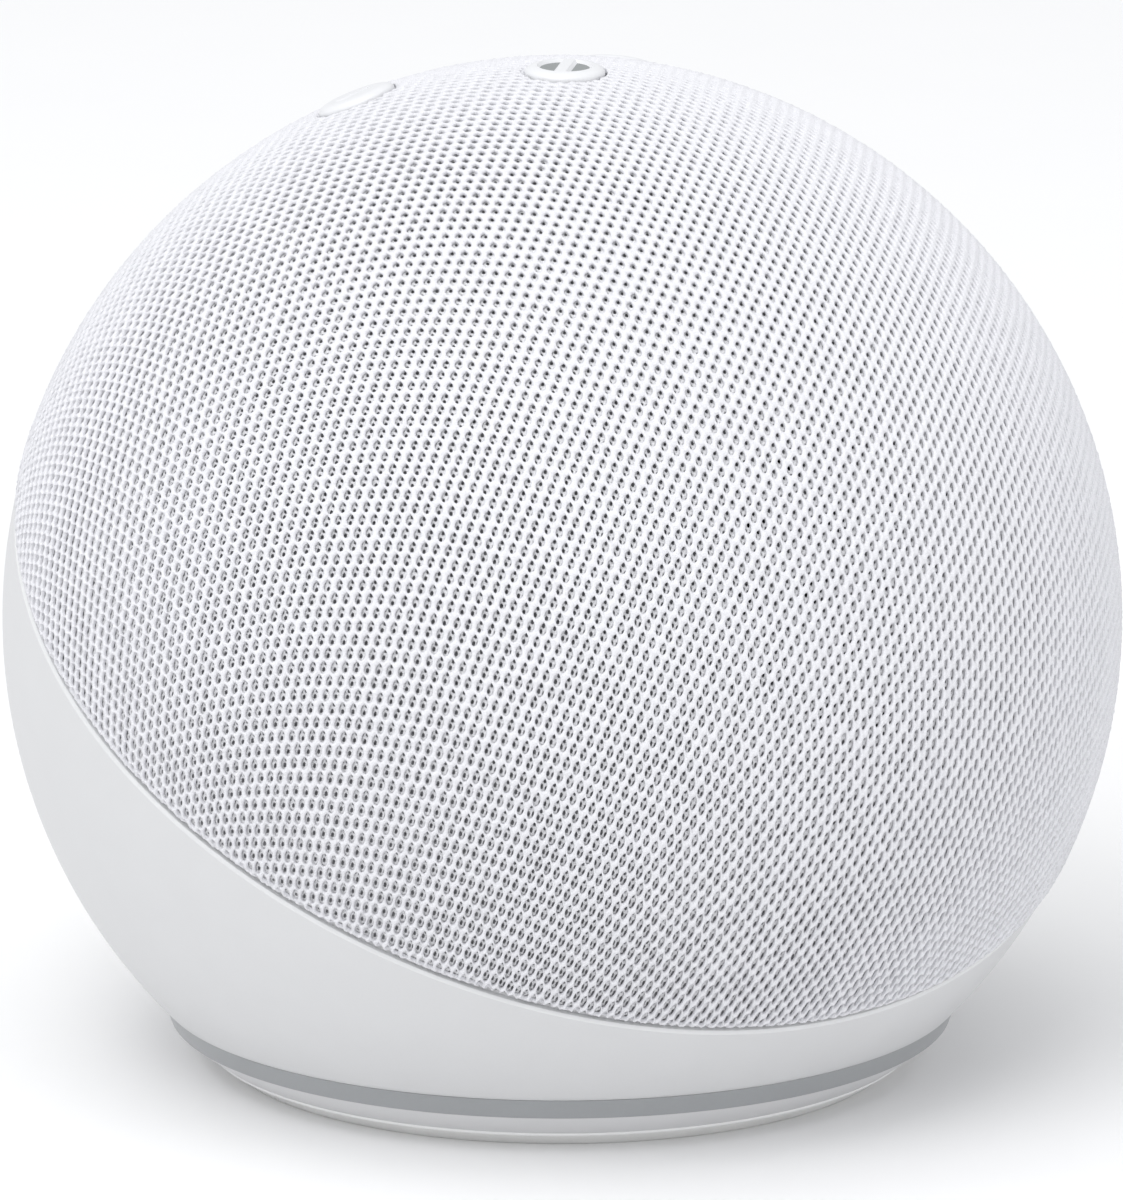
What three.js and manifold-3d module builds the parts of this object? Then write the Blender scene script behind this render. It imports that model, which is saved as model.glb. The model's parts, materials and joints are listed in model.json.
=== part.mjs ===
// A ball-shaped smart speaker: a fabric dome over a perforated shell, a plastic housing round the
// bottom and the back, a light ring and a foot, four push buttons, and the driver and boards inside.
// Millimetres, +Z up, the speaker faces -Y, and the origin is the middle of the foot's underside.

import * as THREE from 'three';
import { mergeVertices } from 'three/addons/utils/BufferGeometryUtils.js';
import Module from 'manifold-3d';

const wasm = await Module();
wasm.setup();

// ---------------------------------------------------------------- driving dimensions

const BALL_RADIUS = 50;                  // outside of the fabric
const BALL_HEIGHT = 40;                  // centre of the ball above the table
const GAP = 0.3;                         // clearance between pieces that touch on the real object
const WALL = 2;

const BALL_SIDES = 36;                   // facets round the ball-sized pieces
const DISC_SIDES = 20;                   // facets round the driver-sized pieces
const SMALL_SIDES = 14;                  // facets round buttons and holes
const SCREW_SIDES = 10;
const CAP_STEPS = 8;                     // facets from the top of the fabric to its rim
const HOUSING_STEPS = 12;

const SEAM_TILT = 31.2;                  // the seam plane's normal leans this far to the front
const SEAM_OFFSET = -2.4;                // the housing's rim, from the centre of the ball
const FABRIC_THICKNESS = 0.6;
const GRILLE_OUTER = BALL_RADIUS - 1.1;
const GRILLE_INNER = GRILLE_OUTER - 2.3;
const SOUND_HOLE_RADIUS = 1.5;
const SOUND_HOLE_PITCH = 6.2;
const SOUND_HOLE_RINGS = 2;
const HOUSING_OUTER = BALL_RADIUS - 0.35;
const HOUSING_INNER = HOUSING_OUTER - 2.35;
const HOUSING_BOTTOM = 5.6;              // height of the housing's lower edge

const FOOT_TOP = 1.2;
const FOOT_INNER = 20;
const FOOT_TREAD_RADIUS = 30;
const FOOT_TOP_RADIUS = 31.5;
const BASE_BOTTOM = FOOT_TOP + GAP;
const BASE_TOP = 3.75;
const BASE_FLOOR_TOP = 3.6;
const BASE_BOTTOM_RADIUS = 31.7;
const BASE_TOP_RADIUS = 35;
const BASE_RIM_INNER = 33.1;
const RING_BOTTOM = BASE_TOP + GAP;
const RING_TOP = HOUSING_BOTTOM - GAP;
const RING_INNER = 32.8;
const RING_BOTTOM_RADIUS = 35.15;
const RING_TOP_RADIUS = 35.6;
const GUIDE_INNER = 31.2;
const GUIDE_OUTER = 32.1;
const LIGHT_BOARD_INNER = 29.3;
const LIGHT_BOARD_OUTER = 30.9;
const LIGHT_BOARD_BOTTOM = 4.2;
const LIGHT_BOARD_TOP = 5.2;
const LAMPS = 8;
const LAMP_CIRCLE = 30.3;
const LAMP_SIZE = [0.8, 1.6, 0.9];

const CHASSIS_BOTTOM = 8;
const CHASSIS_TOP = 10.2;
const CHASSIS_INNER = 22.5;
const CHASSIS_OUTER = 34;
const BASE_SCREWS = 4;
const SCREW_CIRCLE = 25.5;
const SCREW_SHANK = 1.2;
const SCREW_HEAD = 2.5;
const SCREW_BOSS = 2.8;
const SCREW_HOLE_ROOF = 0.8;             // plastic left above a screw's blind hole
const HEAD_POCKET_TOP = BASE_BOTTOM + 1.4;
const HEAD_SINK = 0.1;

const CLUSTER_TILT = 13.4;               // the button cluster's axis leans this far to the back
const CLUSTER_TURN = -4;                 // turn of the cluster about its axis
const BUTTON_SPREAD = 15.8;              // angle from that axis to each button's axis
const BUTTON_RADIUS = 3.55;
const BUTTON_TOP = BALL_RADIUS + 0.4;
const BUTTON_EDGE = BALL_RADIUS - 0.1;   // the straight side ends here and the crown begins
const CROWN_EDGE_RADIUS = BUTTON_RADIUS - 0.4;
const CROWN_EDGE_DROP = 0.15;
const CROWN_FLAT_RADIUS = BUTTON_RADIUS - 1.2;
const BUTTON_FLANGE_TOP = GRILLE_INNER - 1;
const BUTTON_FLANGE_BOTTOM = BUTTON_FLANGE_TOP - 1;
const BUTTON_FLANGE_RADIUS = BUTTON_RADIUS + 0.85;
const BUTTON_STEM_RADIUS = 1.5;
const BUTTON_STEM_END = 42.2;
const TOP_BOARD_HEIGHT = 36.2;           // along the cluster's axis, from the centre of the ball
const TOP_BOARD_RADIUS = 19;
const BOARD_THICKNESS = 1.2;
const SWITCH_BOTTOM = TOP_BOARD_HEIGHT + BOARD_THICKNESS + GAP;
const SWITCH_SIZE = [3.4, 3.4, 0.8];
const SWITCH_CIRCLE = BUTTON_STEM_END * Math.sin(Math.PI / 180 * BUTTON_SPREAD);
const KEYPAD_RADIUS = 16;
const KEYPAD_BOTTOM = SWITCH_BOTTOM + SWITCH_SIZE[2] + GAP;
const KEYPAD_TOP = KEYPAD_BOTTOM + 0.5;
const MICROPHONES = 4;
const MICROPHONE_CIRCLE = 11;
const MICROPHONE_SIZE = [3.5, 2.6, 1];
const MICROPHONE_WINDOW = 2.8;           // radius of its hole in the keypad

const DRIVER_RISE = 15;                  // the driver looks forward and this far up
const BAFFLE_BACK = 27.4;                // distances along the driver's axis from the ball's centre
const BAFFLE_FRONT = BAFFLE_BACK + 2;
const BAFFLE_OPENING = 20.4;
const BAFFLE_RADIUS = 34.6;
const GASKET_OUTER = 22.4;
const FLANGE_BACK = 30.7;
const FLANGE_FRONT = FLANGE_BACK + 1;
const FLANGE_RADIUS = 26.5;
const DRIVER_SCREWS = 4;
const DRIVER_SCREW_CIRCLE = 23.9;
const DRIVER_SCREW_HOLE = 1.3;
const DRIVER_SCREW_SHANK = 1;
const DRIVER_SCREW_HEAD = 1.9;
const DRIVER_SCREW_TOP = FLANGE_FRONT + 1.4;
const BASKET_THROAT = 18.9;
const BASKET_FLOOR_BACK = 18.5;
const BASKET_FLOOR_FRONT = BASKET_FLOOR_BACK + 1;
const BASKET_FLOOR_INNER = 8;
const BASKET_FLOOR_OUTER = 11.6;
const BASKET_SIDE = 0.8;                 // thickness of the basket's sloping side
const BASKET_WINDOW_WIDTH = 9;
const BASKET_WINDOW_BACK = 22.85;
const BASKET_WINDOW_DEPTH = 5.5;
const TOP_PLATE_BACK = 15.9;
const TOP_PLATE_FRONT = 18.2;
const TOP_PLATE_BORE = 5.9;
const TOP_PLATE_RADIUS = 13;
const MAGNET_BACK = 9.9;
const MAGNET_BORE = 7.5;
const MAGNET_RADIUS = 14;
const YOKE_BACK = MAGNET_BACK - 2.5;
const POLE_RADIUS = 4.9;
const COIL_INNER = 5.2;
const COIL_OUTER = 5.6;
const COIL_BACK = 12.4;
const COIL_FRONT = 24.2;
const PAPER = 0.45;                      // thickness of the cone, the dust cap and the surround
const CONE_NECK = 5.9;
const CONE_BACK = 22;
const CONE_FRONT = 29.6;
const CONE_RADIUS = 15.8;
const DUST_CAP_DOME = 13;
const DUST_CAP_TOP = 27;
const DUST_CAP_RIM = 34;                 // angle from the dome's top to its rim
const ROLL_RADIUS = 1.15;
const ROLL_CIRCLE = 17.35;
const ROLL_RISE = 0.3;
const SPIDER_INNER = 5.95;
const SPIDER_BACK = 20.7;
const SPIDER_FOLDS = 5;
const SPIDER_WAVE = 0.5;
const SPIDER_THICKNESS = 0.35;
const ENCLOSURE_BACK = -12;
const ENCLOSURE_OUTER = 27.4;

const POCKET_FLOOR = 36;                 // the port pocket's flat floor, in +Y
const POCKET_WIDTH = 30;
const POCKET_HEIGHT = 10;
const POCKET_CORNER = 3;
const PORT_HEIGHT = 17;
const PORT_SPACING = 16;
const POWER_HOLE = 3.4;                  // radii of the holes in the pocket's floor
const AUDIO_HOLE = 2.8;
const JACK_FRONT = POCKET_FLOOR - WALL - GAP - 0.1;
const POWER_JACK_WIDTH = 9;
const POWER_JACK_BORE = 2.8;
const POWER_JACK_DEPTH = 8.5;
const PIN_RADIUS = 0.85;
const PIN_SINK = 0.8;                    // the pin's end lies this far inside the jack
const AUDIO_JACK_WIDTH = 6.4;
const AUDIO_JACK_BORE = 1.85;
const AUDIO_JACK_DEPTH = 9;

const MAIN_BOARD_FRONT = 22;
const MAIN_BOARD_BACK = MAIN_BOARD_FRONT + 1.6;
const MAIN_BOARD_BOTTOM = 12;
const MAIN_BOARD_TOP = 58;
const MAIN_BOARD_WIDTH = 46;
const MAIN_BOARD_CORNER = 4;
const BOARD_SCREW_X = 19.5;
const BOARD_SCREW_Z = 54;
const BOARD_SCREW_HOLE = 1.3;
const BOARD_SCREW_SHANK = 1;
const BOARD_SCREW_HEAD = 2.1;
const BOARD_SCREW_HEAD_BACK = MAIN_BOARD_BACK + 1.6;
const HEAT_SINK_WIDTH = 34;
const HEAT_SINK_BOTTOM = 22;
const HEAT_SINK_TOP = 50;
const HEAT_SINK_PLATE = 1.6;
const HEAT_SINK_RIB = 1.2;
const HEAT_SINK_RIB_RISE = 1.4;
const HEAT_SINK_RIB_PITCH = 7;
const SHIELD_WIDTH = 24;
const SHIELD_BOTTOM = 32;
const SHIELD_TOP = 52;
const SHIELD_DEPTH = 2.8;
const SHIELD_SHEET = 0.4;
const PROCESSOR_WIDTH = 12;
const PROCESSOR_BOTTOM = 36;
const PROCESSOR_DEPTH = 1.3;
const ANTENNA_X = 29;
const ANTENNA_SHEET = 0.6;
const ANTENNA_FRONT = -2;
const ANTENNA_BACK = 14;
const ANTENNA_BOTTOM = 26;
const ANTENNA_TOP = 46;

const RIBBON_WIDTH = 8;
const RIBBON_THICKNESS = 0.4;
const LEAD_RADIUS = 0.6;
// The ribbons run in the middle of the ball, along these [y, z] points.
const TOP_RIBBON_ROUTE = [[27.2, 69.8], [29.4, 66], [28.4, 60], [24.9, 55.5]];
const LAMP_RIBBON_ROUTE = [[28.9, 5.8], [25, 6.2], [21.6, 7.2], [20.6, 10.5], [20.9, 15], [21.3, 19]];
// The two speaker leads run along these [x, y, z] points and drift apart from the first to the last.
const LEAD_ROUTE = [[10, 14.5, 33], [15, 17, 34], [19.5, 18.5, 36], [20.5, 21.3, 36]];
const LEAD_DRIFT = [1, 2, 3, 3];

// ---------------------------------------------------------------- materials

function material(color, roughness, metalness = 0) {
  return new THREE.MeshStandardMaterial({ color, roughness, metalness });
}

const FABRIC_WHITE = 0xe9ebf2;
const HOUSING_WHITE = 0xe4e6e8;
const DIFFUSER_GREY = 0x92969a;
const BASE_GREY = 0xb9b9bb;
const FOOT_GREY = 0xacacaa;
const BUTTON_WHITE = 0xf0f1f3;
const BLACK_PLASTIC = 0x232427;
const DARK_RUBBER = 0x1c1c1d;
const SILICONE_GREY = 0x9a9da0;
const BOARD_GREEN = 0x1f5a3c;
const BOARD_WHITE = 0xe8e8e2;
const STEEL = 0xa9abad;
const FERRITE = 0x3b3b3d;
const COPPER = 0xb8733d;
const PAPER_BLACK = 0x2a2a2c;
const CLOTH_TAN = 0xb99a5e;
const CLEAR_PLASTIC = 0xdfe3e6;
const GOLD_FOIL = 0xc9a24a;
const WIRE_RED = 0xa32a24;

// ---------------------------------------------------------------- solids

function radians(degrees) {
  return THREE.MathUtils.degToRad(degrees);
}

function signedVolume(position, index) {
  const a = new THREE.Vector3();
  const b = new THREE.Vector3();
  const c = new THREE.Vector3();
  let six = 0;
  for (let i = 0; i < index.length; i += 3) {
    a.fromBufferAttribute(position, index[i]);
    b.fromBufferAttribute(position, index[i + 1]);
    c.fromBufferAttribute(position, index[i + 2]);
    six += a.dot(b.cross(c));
  }
  return six / 6;
}

// Welds a closed geometry and turns its faces outwards, ready for cutting and joining.
function solid(geometry) {
  const bare = geometry.clone();
  bare.deleteAttribute('normal');
  bare.deleteAttribute('uv');
  const welded = mergeVertices(bare, 1e-4);
  const corners = welded.index.array;
  const kept = [];
  for (let i = 0; i < corners.length; i += 3) {
    const [p, q, r] = [corners[i], corners[i + 1], corners[i + 2]];
    if (p !== q && q !== r && r !== p) {
      kept.push(p, q, r);
    }
  }
  if (signedVolume(welded.attributes.position, kept) < 0) {
    kept.reverse();
  }
  return new wasm.Manifold(new wasm.Mesh({
    numProp: 3,
    vertProperties: new Float32Array(welded.attributes.position.array),
    triVerts: new Uint32Array(kept),
  }));
}

function cut(body, ...tools) {
  return tools.reduce((left, tool) => left.subtract(tool), body);
}

function join(first, ...others) {
  return others.reduce((whole, piece) => whole.add(piece), first);
}

function piece(name, body, look) {
  const surface = body.getMesh();
  const geometry = new THREE.BufferGeometry();
  geometry.setAttribute('position', new THREE.BufferAttribute(surface.vertProperties, 3));
  geometry.setIndex(new THREE.BufferAttribute(surface.triVerts, 1));
  geometry.computeVertexNormals();
  const mesh = new THREE.Mesh(geometry, look);
  mesh.name = name;
  return mesh;
}

// Spins [radius, height] points about +Z. The outline closes on itself or ends on the axis.
function spin(outline, sides = BALL_SIDES) {
  const points = outline.map(([radius, height]) => new THREE.Vector2(radius, height));
  if (outline[0][0] > 0) {
    points.push(points[0].clone());
  }
  return solid(new THREE.LatheGeometry(points, sides).rotateX(Math.PI / 2));
}

// Points on an arc about the axis point `middle`, with angles measured from +Z, in degrees.
function arc(radius, fromAngle, toAngle, steps, middle = [0, 0]) {
  return Array.from({ length: steps + 1 }, (_, i) => {
    const angle = radians(fromAngle + (toAngle - fromAngle) * i / steps);
    const across = Math.abs(Math.sin(angle)) < 1e-9 ? 0 : radius * Math.sin(angle);
    return [middle[0] + across, middle[1] + radius * Math.cos(angle)];
  });
}

function disc(radius, bottom, top, sides = SMALL_SIDES) {
  return spin([[0, bottom], [radius, bottom], [radius, top], [0, top]], sides);
}

function washer(inner, outer, bottom, top, sides = DISC_SIDES) {
  return spin([[inner, bottom], [outer, bottom], [outer, top], [inner, top]], sides);
}

function block(low, high) {
  const size = high.map((value, axis) => value - low[axis]);
  const middle = high.map((value, axis) => (value + low[axis]) / 2);
  return solid(new THREE.BoxGeometry(...size).translate(...middle));
}

function roundedOutline(width, height, corner) {
  const [x, y] = [width / 2 - corner, height / 2 - corner];
  const shape = new THREE.Shape();
  shape.absarc(x, y, corner, 0, Math.PI / 2);
  shape.absarc(-x, y, corner, Math.PI / 2, Math.PI);
  shape.absarc(-x, -y, corner, Math.PI, 1.5 * Math.PI);
  shape.absarc(x, -y, corner, 1.5 * Math.PI, 2 * Math.PI);
  return shape;
}

// A plate with rounded corners, standing upright across the ball from y = front to y = back.
function uprightPlate(width, height, corner, front, back, middleHeight) {
  const geometry = new THREE.ExtrudeGeometry(roundedOutline(width, height, corner), {
    depth: back - front,
    bevelEnabled: false,
    curveSegments: 4,
  });
  geometry.rotateX(Math.PI / 2).translate(0, back, middleHeight);
  return solid(geometry);
}

function rod(radius, front, back, x, z, sides = SMALL_SIDES) {
  const geometry = new THREE.CylinderGeometry(radius, radius, back - front, sides);
  return solid(geometry.translate(x, (front + back) / 2, z));
}

function cable(points, sectionShape, steps) {
  const path = new THREE.CatmullRomCurve3(points.map(([x, y, z]) => new THREE.Vector3(x, y, z)));
  const options = { steps, extrudePath: path, curveSegments: 2, bevelEnabled: false };
  return solid(new THREE.ExtrudeGeometry(sectionShape, options));
}

function ribbonSection(width, thickness) {
  const shape = new THREE.Shape();
  shape.moveTo(-width / 2, -thickness / 2);
  shape.lineTo(width / 2, -thickness / 2);
  shape.lineTo(width / 2, thickness / 2);
  shape.lineTo(-width / 2, thickness / 2);
  shape.closePath();
  return shape;
}

function wireSection(radius) {
  const shape = new THREE.Shape();
  shape.absarc(0, 0, radius, 0, 2 * Math.PI);
  return shape;
}

function around(count, startAngle, make) {
  return Array.from({ length: count }, (_, i) => make(radians(startAngle + 360 * i / count), i));
}

// ---------------------------------------------------------------- frames of reference

// Each of these groups has its origin at the centre of the ball and +Z along its own axis.
function ballFrame(tiltTowardsFront) {
  const group = new THREE.Group();
  group.position.z = BALL_HEIGHT;
  group.rotation.x = radians(tiltTowardsFront);
  return group;
}

function matrixOf(group) {
  group.updateMatrix();
  return group.matrix;
}

const seamFrame = ballFrame(SEAM_TILT);
const clusterFrame = ballFrame(-CLUSTER_TILT);
const driverFrame = ballFrame(90 - DRIVER_RISE);

const BUTTONS = [
  { name: 'mute_button', bearing: -90 },
  { name: 'volume_up_button', bearing: 0 },
  { name: 'action_button', bearing: 90 },
  { name: 'volume_down_button', bearing: 180 },
];

function buttonFrame(bearing) {
  const group = new THREE.Group();
  group.rotation.set(0, radians(BUTTON_SPREAD), radians(bearing + CLUSTER_TURN), 'ZYX');
  return group;
}

// A cylinder along each button's axis, in the ball frame that `group` gives.
function buttonBores(radius, group) {
  const intoGroup = matrixOf(group).clone().invert().multiply(matrixOf(clusterFrame));
  return BUTTONS.map(({ bearing }) => {
    const toBore = intoGroup.clone().multiply(matrixOf(buttonFrame(bearing)));
    const bore = new THREE.CylinderGeometry(radius, radius, BALL_RADIUS, SMALL_SIDES);
    bore.rotateX(Math.PI / 2).translate(0, 0, BALL_RADIUS);
    return solid(bore.applyMatrix4(toBore));
  });
}

// ---------------------------------------------------------------- outside

function cap(outer, inner, rimHeight) {
  const outerEnd = 90 - Math.asin(rimHeight / outer) * 180 / Math.PI;
  const innerEnd = 90 - Math.asin(rimHeight / inner) * 180 / Math.PI;
  return spin([...arc(outer, 0, outerEnd, CAP_STEPS), ...arc(inner, innerEnd, 0, CAP_STEPS)]);
}

function fabricCover() {
  const shell = cap(BALL_RADIUS, BALL_RADIUS - FABRIC_THICKNESS, SEAM_OFFSET + GAP);
  return cut(shell, ...buttonBores(BUTTON_RADIUS + GAP, seamFrame));
}

// A hole on the driver's axis, with rings of holes round it.
function soundHoles() {
  const intoSeam = matrixOf(seamFrame).clone().invert().multiply(matrixOf(driverFrame));
  const holes = [];
  for (let ring = 0; ring <= SOUND_HOLE_RINGS; ring += 1) {
    around(Math.max(1, 6 * ring), 0, (angle) => {
      const hole = new THREE.CylinderGeometry(SOUND_HOLE_RADIUS, SOUND_HOLE_RADIUS, BALL_RADIUS, 6);
      hole.rotateX(Math.PI / 2).translate(0, 0, BALL_RADIUS);
      hole.rotateY(SOUND_HOLE_PITCH * ring / GRILLE_OUTER).rotateZ(angle);
      holes.push(solid(hole.applyMatrix4(intoSeam)));
    });
  }
  return holes;
}

function grilleShell() {
  const shell = cap(GRILLE_OUTER, GRILLE_INNER, SEAM_OFFSET + GAP);
  return cut(shell, ...buttonBores(BUTTON_RADIUS + GAP, seamFrame), ...soundHoles());
}

function aboveSeam() {
  const reach = 2 * BALL_RADIUS;
  const tool = new THREE.CylinderGeometry(reach, reach, reach, SMALL_SIDES);
  tool.rotateX(Math.PI / 2).translate(0, 0, SEAM_OFFSET + reach / 2);
  return solid(tool.applyMatrix4(matrixOf(seamFrame)));
}

function portPocket() {
  return uprightPlate(POCKET_WIDTH, POCKET_HEIGHT, POCKET_CORNER, POCKET_FLOOR, BALL_RADIUS, PORT_HEIGHT);
}

function portHole(radius, side) {
  return rod(radius, POCKET_FLOOR - 2 * WALL, BALL_RADIUS, side * PORT_SPACING / 2, PORT_HEIGHT);
}

function rearHousing() {
  const below = HOUSING_BOTTOM - BALL_HEIGHT;
  const outerEnd = 90 - Math.asin(below / HOUSING_OUTER) * 180 / Math.PI;
  const innerEnd = 90 - Math.asin(below / HOUSING_INNER) * 180 / Math.PI;
  const outerArc = arc(HOUSING_OUTER, 0, outerEnd, HOUSING_STEPS, [0, BALL_HEIGHT]);
  const innerArc = arc(HOUSING_INNER, innerEnd, 0, HOUSING_STEPS, [0, BALL_HEIGHT]);
  const ball = spin([...outerArc, [0, HOUSING_BOTTOM]]);
  const shell = spin([...outerArc, ...innerArc]);
  const pocketWall = uprightPlate(POCKET_WIDTH + 2 * WALL, POCKET_HEIGHT + 2 * WALL, POCKET_CORNER + 1,
    POCKET_FLOOR - WALL, BALL_RADIUS, PORT_HEIGHT).intersect(ball);
  const holes = [portHole(POWER_HOLE, -1), portHole(AUDIO_HOLE, 1)];
  return cut(join(shell, pocketWall), aboveSeam(), portPocket(), ...holes);
}

function lightRing() {
  return spin([[RING_INNER, RING_BOTTOM], [RING_BOTTOM_RADIUS, RING_BOTTOM], [RING_TOP_RADIUS, RING_TOP],
    [RING_INNER, RING_TOP]]);
}

function lightGuide() {
  return washer(GUIDE_INNER, GUIDE_OUTER, RING_BOTTOM, CHASSIS_BOTTOM - GAP, BALL_SIDES);
}

function lightBoard() {
  const board = washer(LIGHT_BOARD_INNER, LIGHT_BOARD_OUTER, LIGHT_BOARD_BOTTOM, LIGHT_BOARD_TOP,
    BALL_SIDES);
  const lamps = around(LAMPS, 180 / LAMPS, (angle) => {
    const lamp = new THREE.BoxGeometry(...LAMP_SIZE);
    return solid(lamp.translate(LAMP_CIRCLE, 0, LIGHT_BOARD_TOP + LAMP_SIZE[2] / 3).rotateZ(angle));
  });
  return join(board, ...lamps);
}

function screwPositions(make) {
  return around(BASE_SCREWS, 45, (angle, i) => make(SCREW_CIRCLE * Math.cos(angle),
    SCREW_CIRCLE * Math.sin(angle), i));
}

function upright(radius, bottom, top, x, y) {
  return disc(radius, bottom, top).translate([x, y, 0]);
}

function chassisRing() {
  const bossBottom = BASE_FLOOR_TOP + GAP;
  const holeTop = CHASSIS_TOP - SCREW_HOLE_ROOF;
  const ring = washer(CHASSIS_INNER, CHASSIS_OUTER, CHASSIS_BOTTOM, CHASSIS_TOP, BALL_SIDES);
  const bosses = screwPositions((x, y) => upright(SCREW_BOSS, bossBottom, CHASSIS_TOP, x, y));
  const holes = screwPositions((x, y) => upright(SCREW_SHANK + GAP, 0, holeTop, x, y));
  return cut(join(ring, ...bosses), ...holes);
}

function baseCover() {
  const plate = spin([[0, BASE_BOTTOM], [BASE_BOTTOM_RADIUS, BASE_BOTTOM], [BASE_TOP_RADIUS, BASE_TOP],
    [BASE_RIM_INNER, BASE_TOP], [BASE_RIM_INNER, BASE_FLOOR_TOP], [0, BASE_FLOOR_TOP]]);
  const holes = screwPositions((x, y) => upright(SCREW_SHANK + GAP, 0, 2 * BASE_TOP, x, y));
  const heads = screwPositions((x, y) => upright(SCREW_HEAD + GAP, 0, HEAD_POCKET_TOP, x, y));
  return cut(plate, ...holes, ...heads);
}

function baseScrew() {
  const headBottom = BASE_BOTTOM + HEAD_SINK;
  const headTop = HEAD_POCKET_TOP - GAP;
  const end = CHASSIS_TOP - SCREW_HOLE_ROOF - GAP;
  return spin([[0, headBottom], [SCREW_HEAD, headBottom], [SCREW_HEAD, headTop],
    [SCREW_SHANK, headTop], [SCREW_SHANK, end], [0, end]], SCREW_SIDES);
}

function rubberFoot() {
  return spin([[FOOT_INNER, 0], [FOOT_TREAD_RADIUS, 0], [FOOT_TOP_RADIUS, FOOT_TOP],
    [FOOT_INNER, FOOT_TOP]]);
}

// ---------------------------------------------------------------- buttons and top board

// A flat crown with a rounded edge, on a flange that rests under the grille.
function button() {
  return spin([[0, BUTTON_STEM_END], [BUTTON_STEM_RADIUS, BUTTON_STEM_END],
    [BUTTON_STEM_RADIUS, BUTTON_FLANGE_BOTTOM], [BUTTON_FLANGE_RADIUS, BUTTON_FLANGE_BOTTOM],
    [BUTTON_FLANGE_RADIUS, BUTTON_FLANGE_TOP], [BUTTON_RADIUS, BUTTON_FLANGE_TOP],
    [BUTTON_RADIUS, BUTTON_EDGE], [CROWN_EDGE_RADIUS, BUTTON_TOP - CROWN_EDGE_DROP],
    [CROWN_FLAT_RADIUS, BUTTON_TOP], [0, BUTTON_TOP]], DISC_SIDES);
}

// Calls make with each microphone's position on the top board.
function microphonePositions(make) {
  return around(MICROPHONES, 45 + CLUSTER_TURN, (angle, i) => make(MICROPHONE_CIRCLE * Math.cos(angle),
    MICROPHONE_CIRCLE * Math.sin(angle), i));
}

function keypad() {
  const sheet = disc(KEYPAD_RADIUS, KEYPAD_BOTTOM, KEYPAD_TOP, BALL_SIDES);
  const holes = microphonePositions((x, y) => upright(MICROPHONE_WINDOW, 0, BALL_RADIUS, x, y));
  return cut(sheet, ...holes);
}

function topBoard() {
  return disc(TOP_BOARD_RADIUS, TOP_BOARD_HEIGHT, TOP_BOARD_HEIGHT + BOARD_THICKNESS, BALL_SIDES);
}

function chip(width, depth, height) {
  return block([-width / 2, -depth / 2, 0], [width / 2, depth / 2, height]);
}

// ---------------------------------------------------------------- driver, along its own axis

function driverScrewPositions(make) {
  return around(DRIVER_SCREWS, 45, (angle, i) => make(DRIVER_SCREW_CIRCLE * Math.cos(angle),
    DRIVER_SCREW_CIRCLE * Math.sin(angle), i));
}

function driverScrewHoles() {
  return driverScrewPositions((x, y) => upright(DRIVER_SCREW_HOLE, 0, BALL_RADIUS, x, y));
}

function frontBaffle() {
  const plate = washer(BAFFLE_OPENING, BAFFLE_RADIUS, BAFFLE_BACK, BAFFLE_FRONT, BALL_SIDES);
  return cut(plate, ...driverScrewHoles());
}

function driverScrew() {
  const end = BAFFLE_BACK + GAP;
  const headBack = FLANGE_FRONT + GAP;
  return spin([[0, end], [DRIVER_SCREW_SHANK, end], [DRIVER_SCREW_SHANK, headBack],
    [DRIVER_SCREW_HEAD, headBack], [DRIVER_SCREW_HEAD, DRIVER_SCREW_TOP], [0, DRIVER_SCREW_TOP]],
  SCREW_SIDES);
}

function driverGasket() {
  return washer(BAFFLE_OPENING, GASKET_OUTER, BAFFLE_FRONT + GAP, FLANGE_BACK - GAP);
}

function driverBasket() {
  const frame = spin([[BASKET_THROAT, FLANGE_FRONT], [BASKET_THROAT, FLANGE_BACK - GAP],
    [BASKET_FLOOR_OUTER, BASKET_FLOOR_FRONT], [BASKET_FLOOR_INNER, BASKET_FLOOR_FRONT],
    [BASKET_FLOOR_INNER, BASKET_FLOOR_BACK], [BASKET_FLOOR_OUTER + BASKET_SIDE, BASKET_FLOOR_BACK],
    [BASKET_THROAT + BASKET_SIDE, FLANGE_BACK], [FLANGE_RADIUS, FLANGE_BACK],
    [FLANGE_RADIUS, FLANGE_FRONT]], DISC_SIDES);
  const windows = [0, 90].map((angle) => {
    const slot = new THREE.BoxGeometry(2 * FLANGE_RADIUS, BASKET_WINDOW_WIDTH, BASKET_WINDOW_DEPTH);
    slot.translate(0, 0, BASKET_WINDOW_BACK + BASKET_WINDOW_DEPTH / 2);
    return solid(slot.rotateZ(radians(angle)));
  });
  return cut(frame, ...windows, ...driverScrewHoles());
}

function driverTopPlate() {
  return washer(TOP_PLATE_BORE, TOP_PLATE_RADIUS, TOP_PLATE_BACK, TOP_PLATE_FRONT);
}

function driverMagnet() {
  return washer(MAGNET_BORE, MAGNET_RADIUS, MAGNET_BACK, TOP_PLATE_BACK - GAP);
}

function driverYoke() {
  const plateFront = MAGNET_BACK - GAP;
  return spin([[0, YOKE_BACK], [TOP_PLATE_RADIUS, YOKE_BACK], [TOP_PLATE_RADIUS, plateFront],
    [POLE_RADIUS, plateFront], [POLE_RADIUS, TOP_PLATE_FRONT], [0, TOP_PLATE_FRONT]], DISC_SIDES);
}

function voiceCoil() {
  return washer(COIL_INNER, COIL_OUTER, COIL_BACK, COIL_FRONT);
}

function cone() {
  return spin([[CONE_NECK, CONE_BACK], [CONE_RADIUS, CONE_FRONT], [CONE_RADIUS, CONE_FRONT + PAPER],
    [CONE_NECK, CONE_BACK + PAPER]], DISC_SIDES);
}

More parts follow.
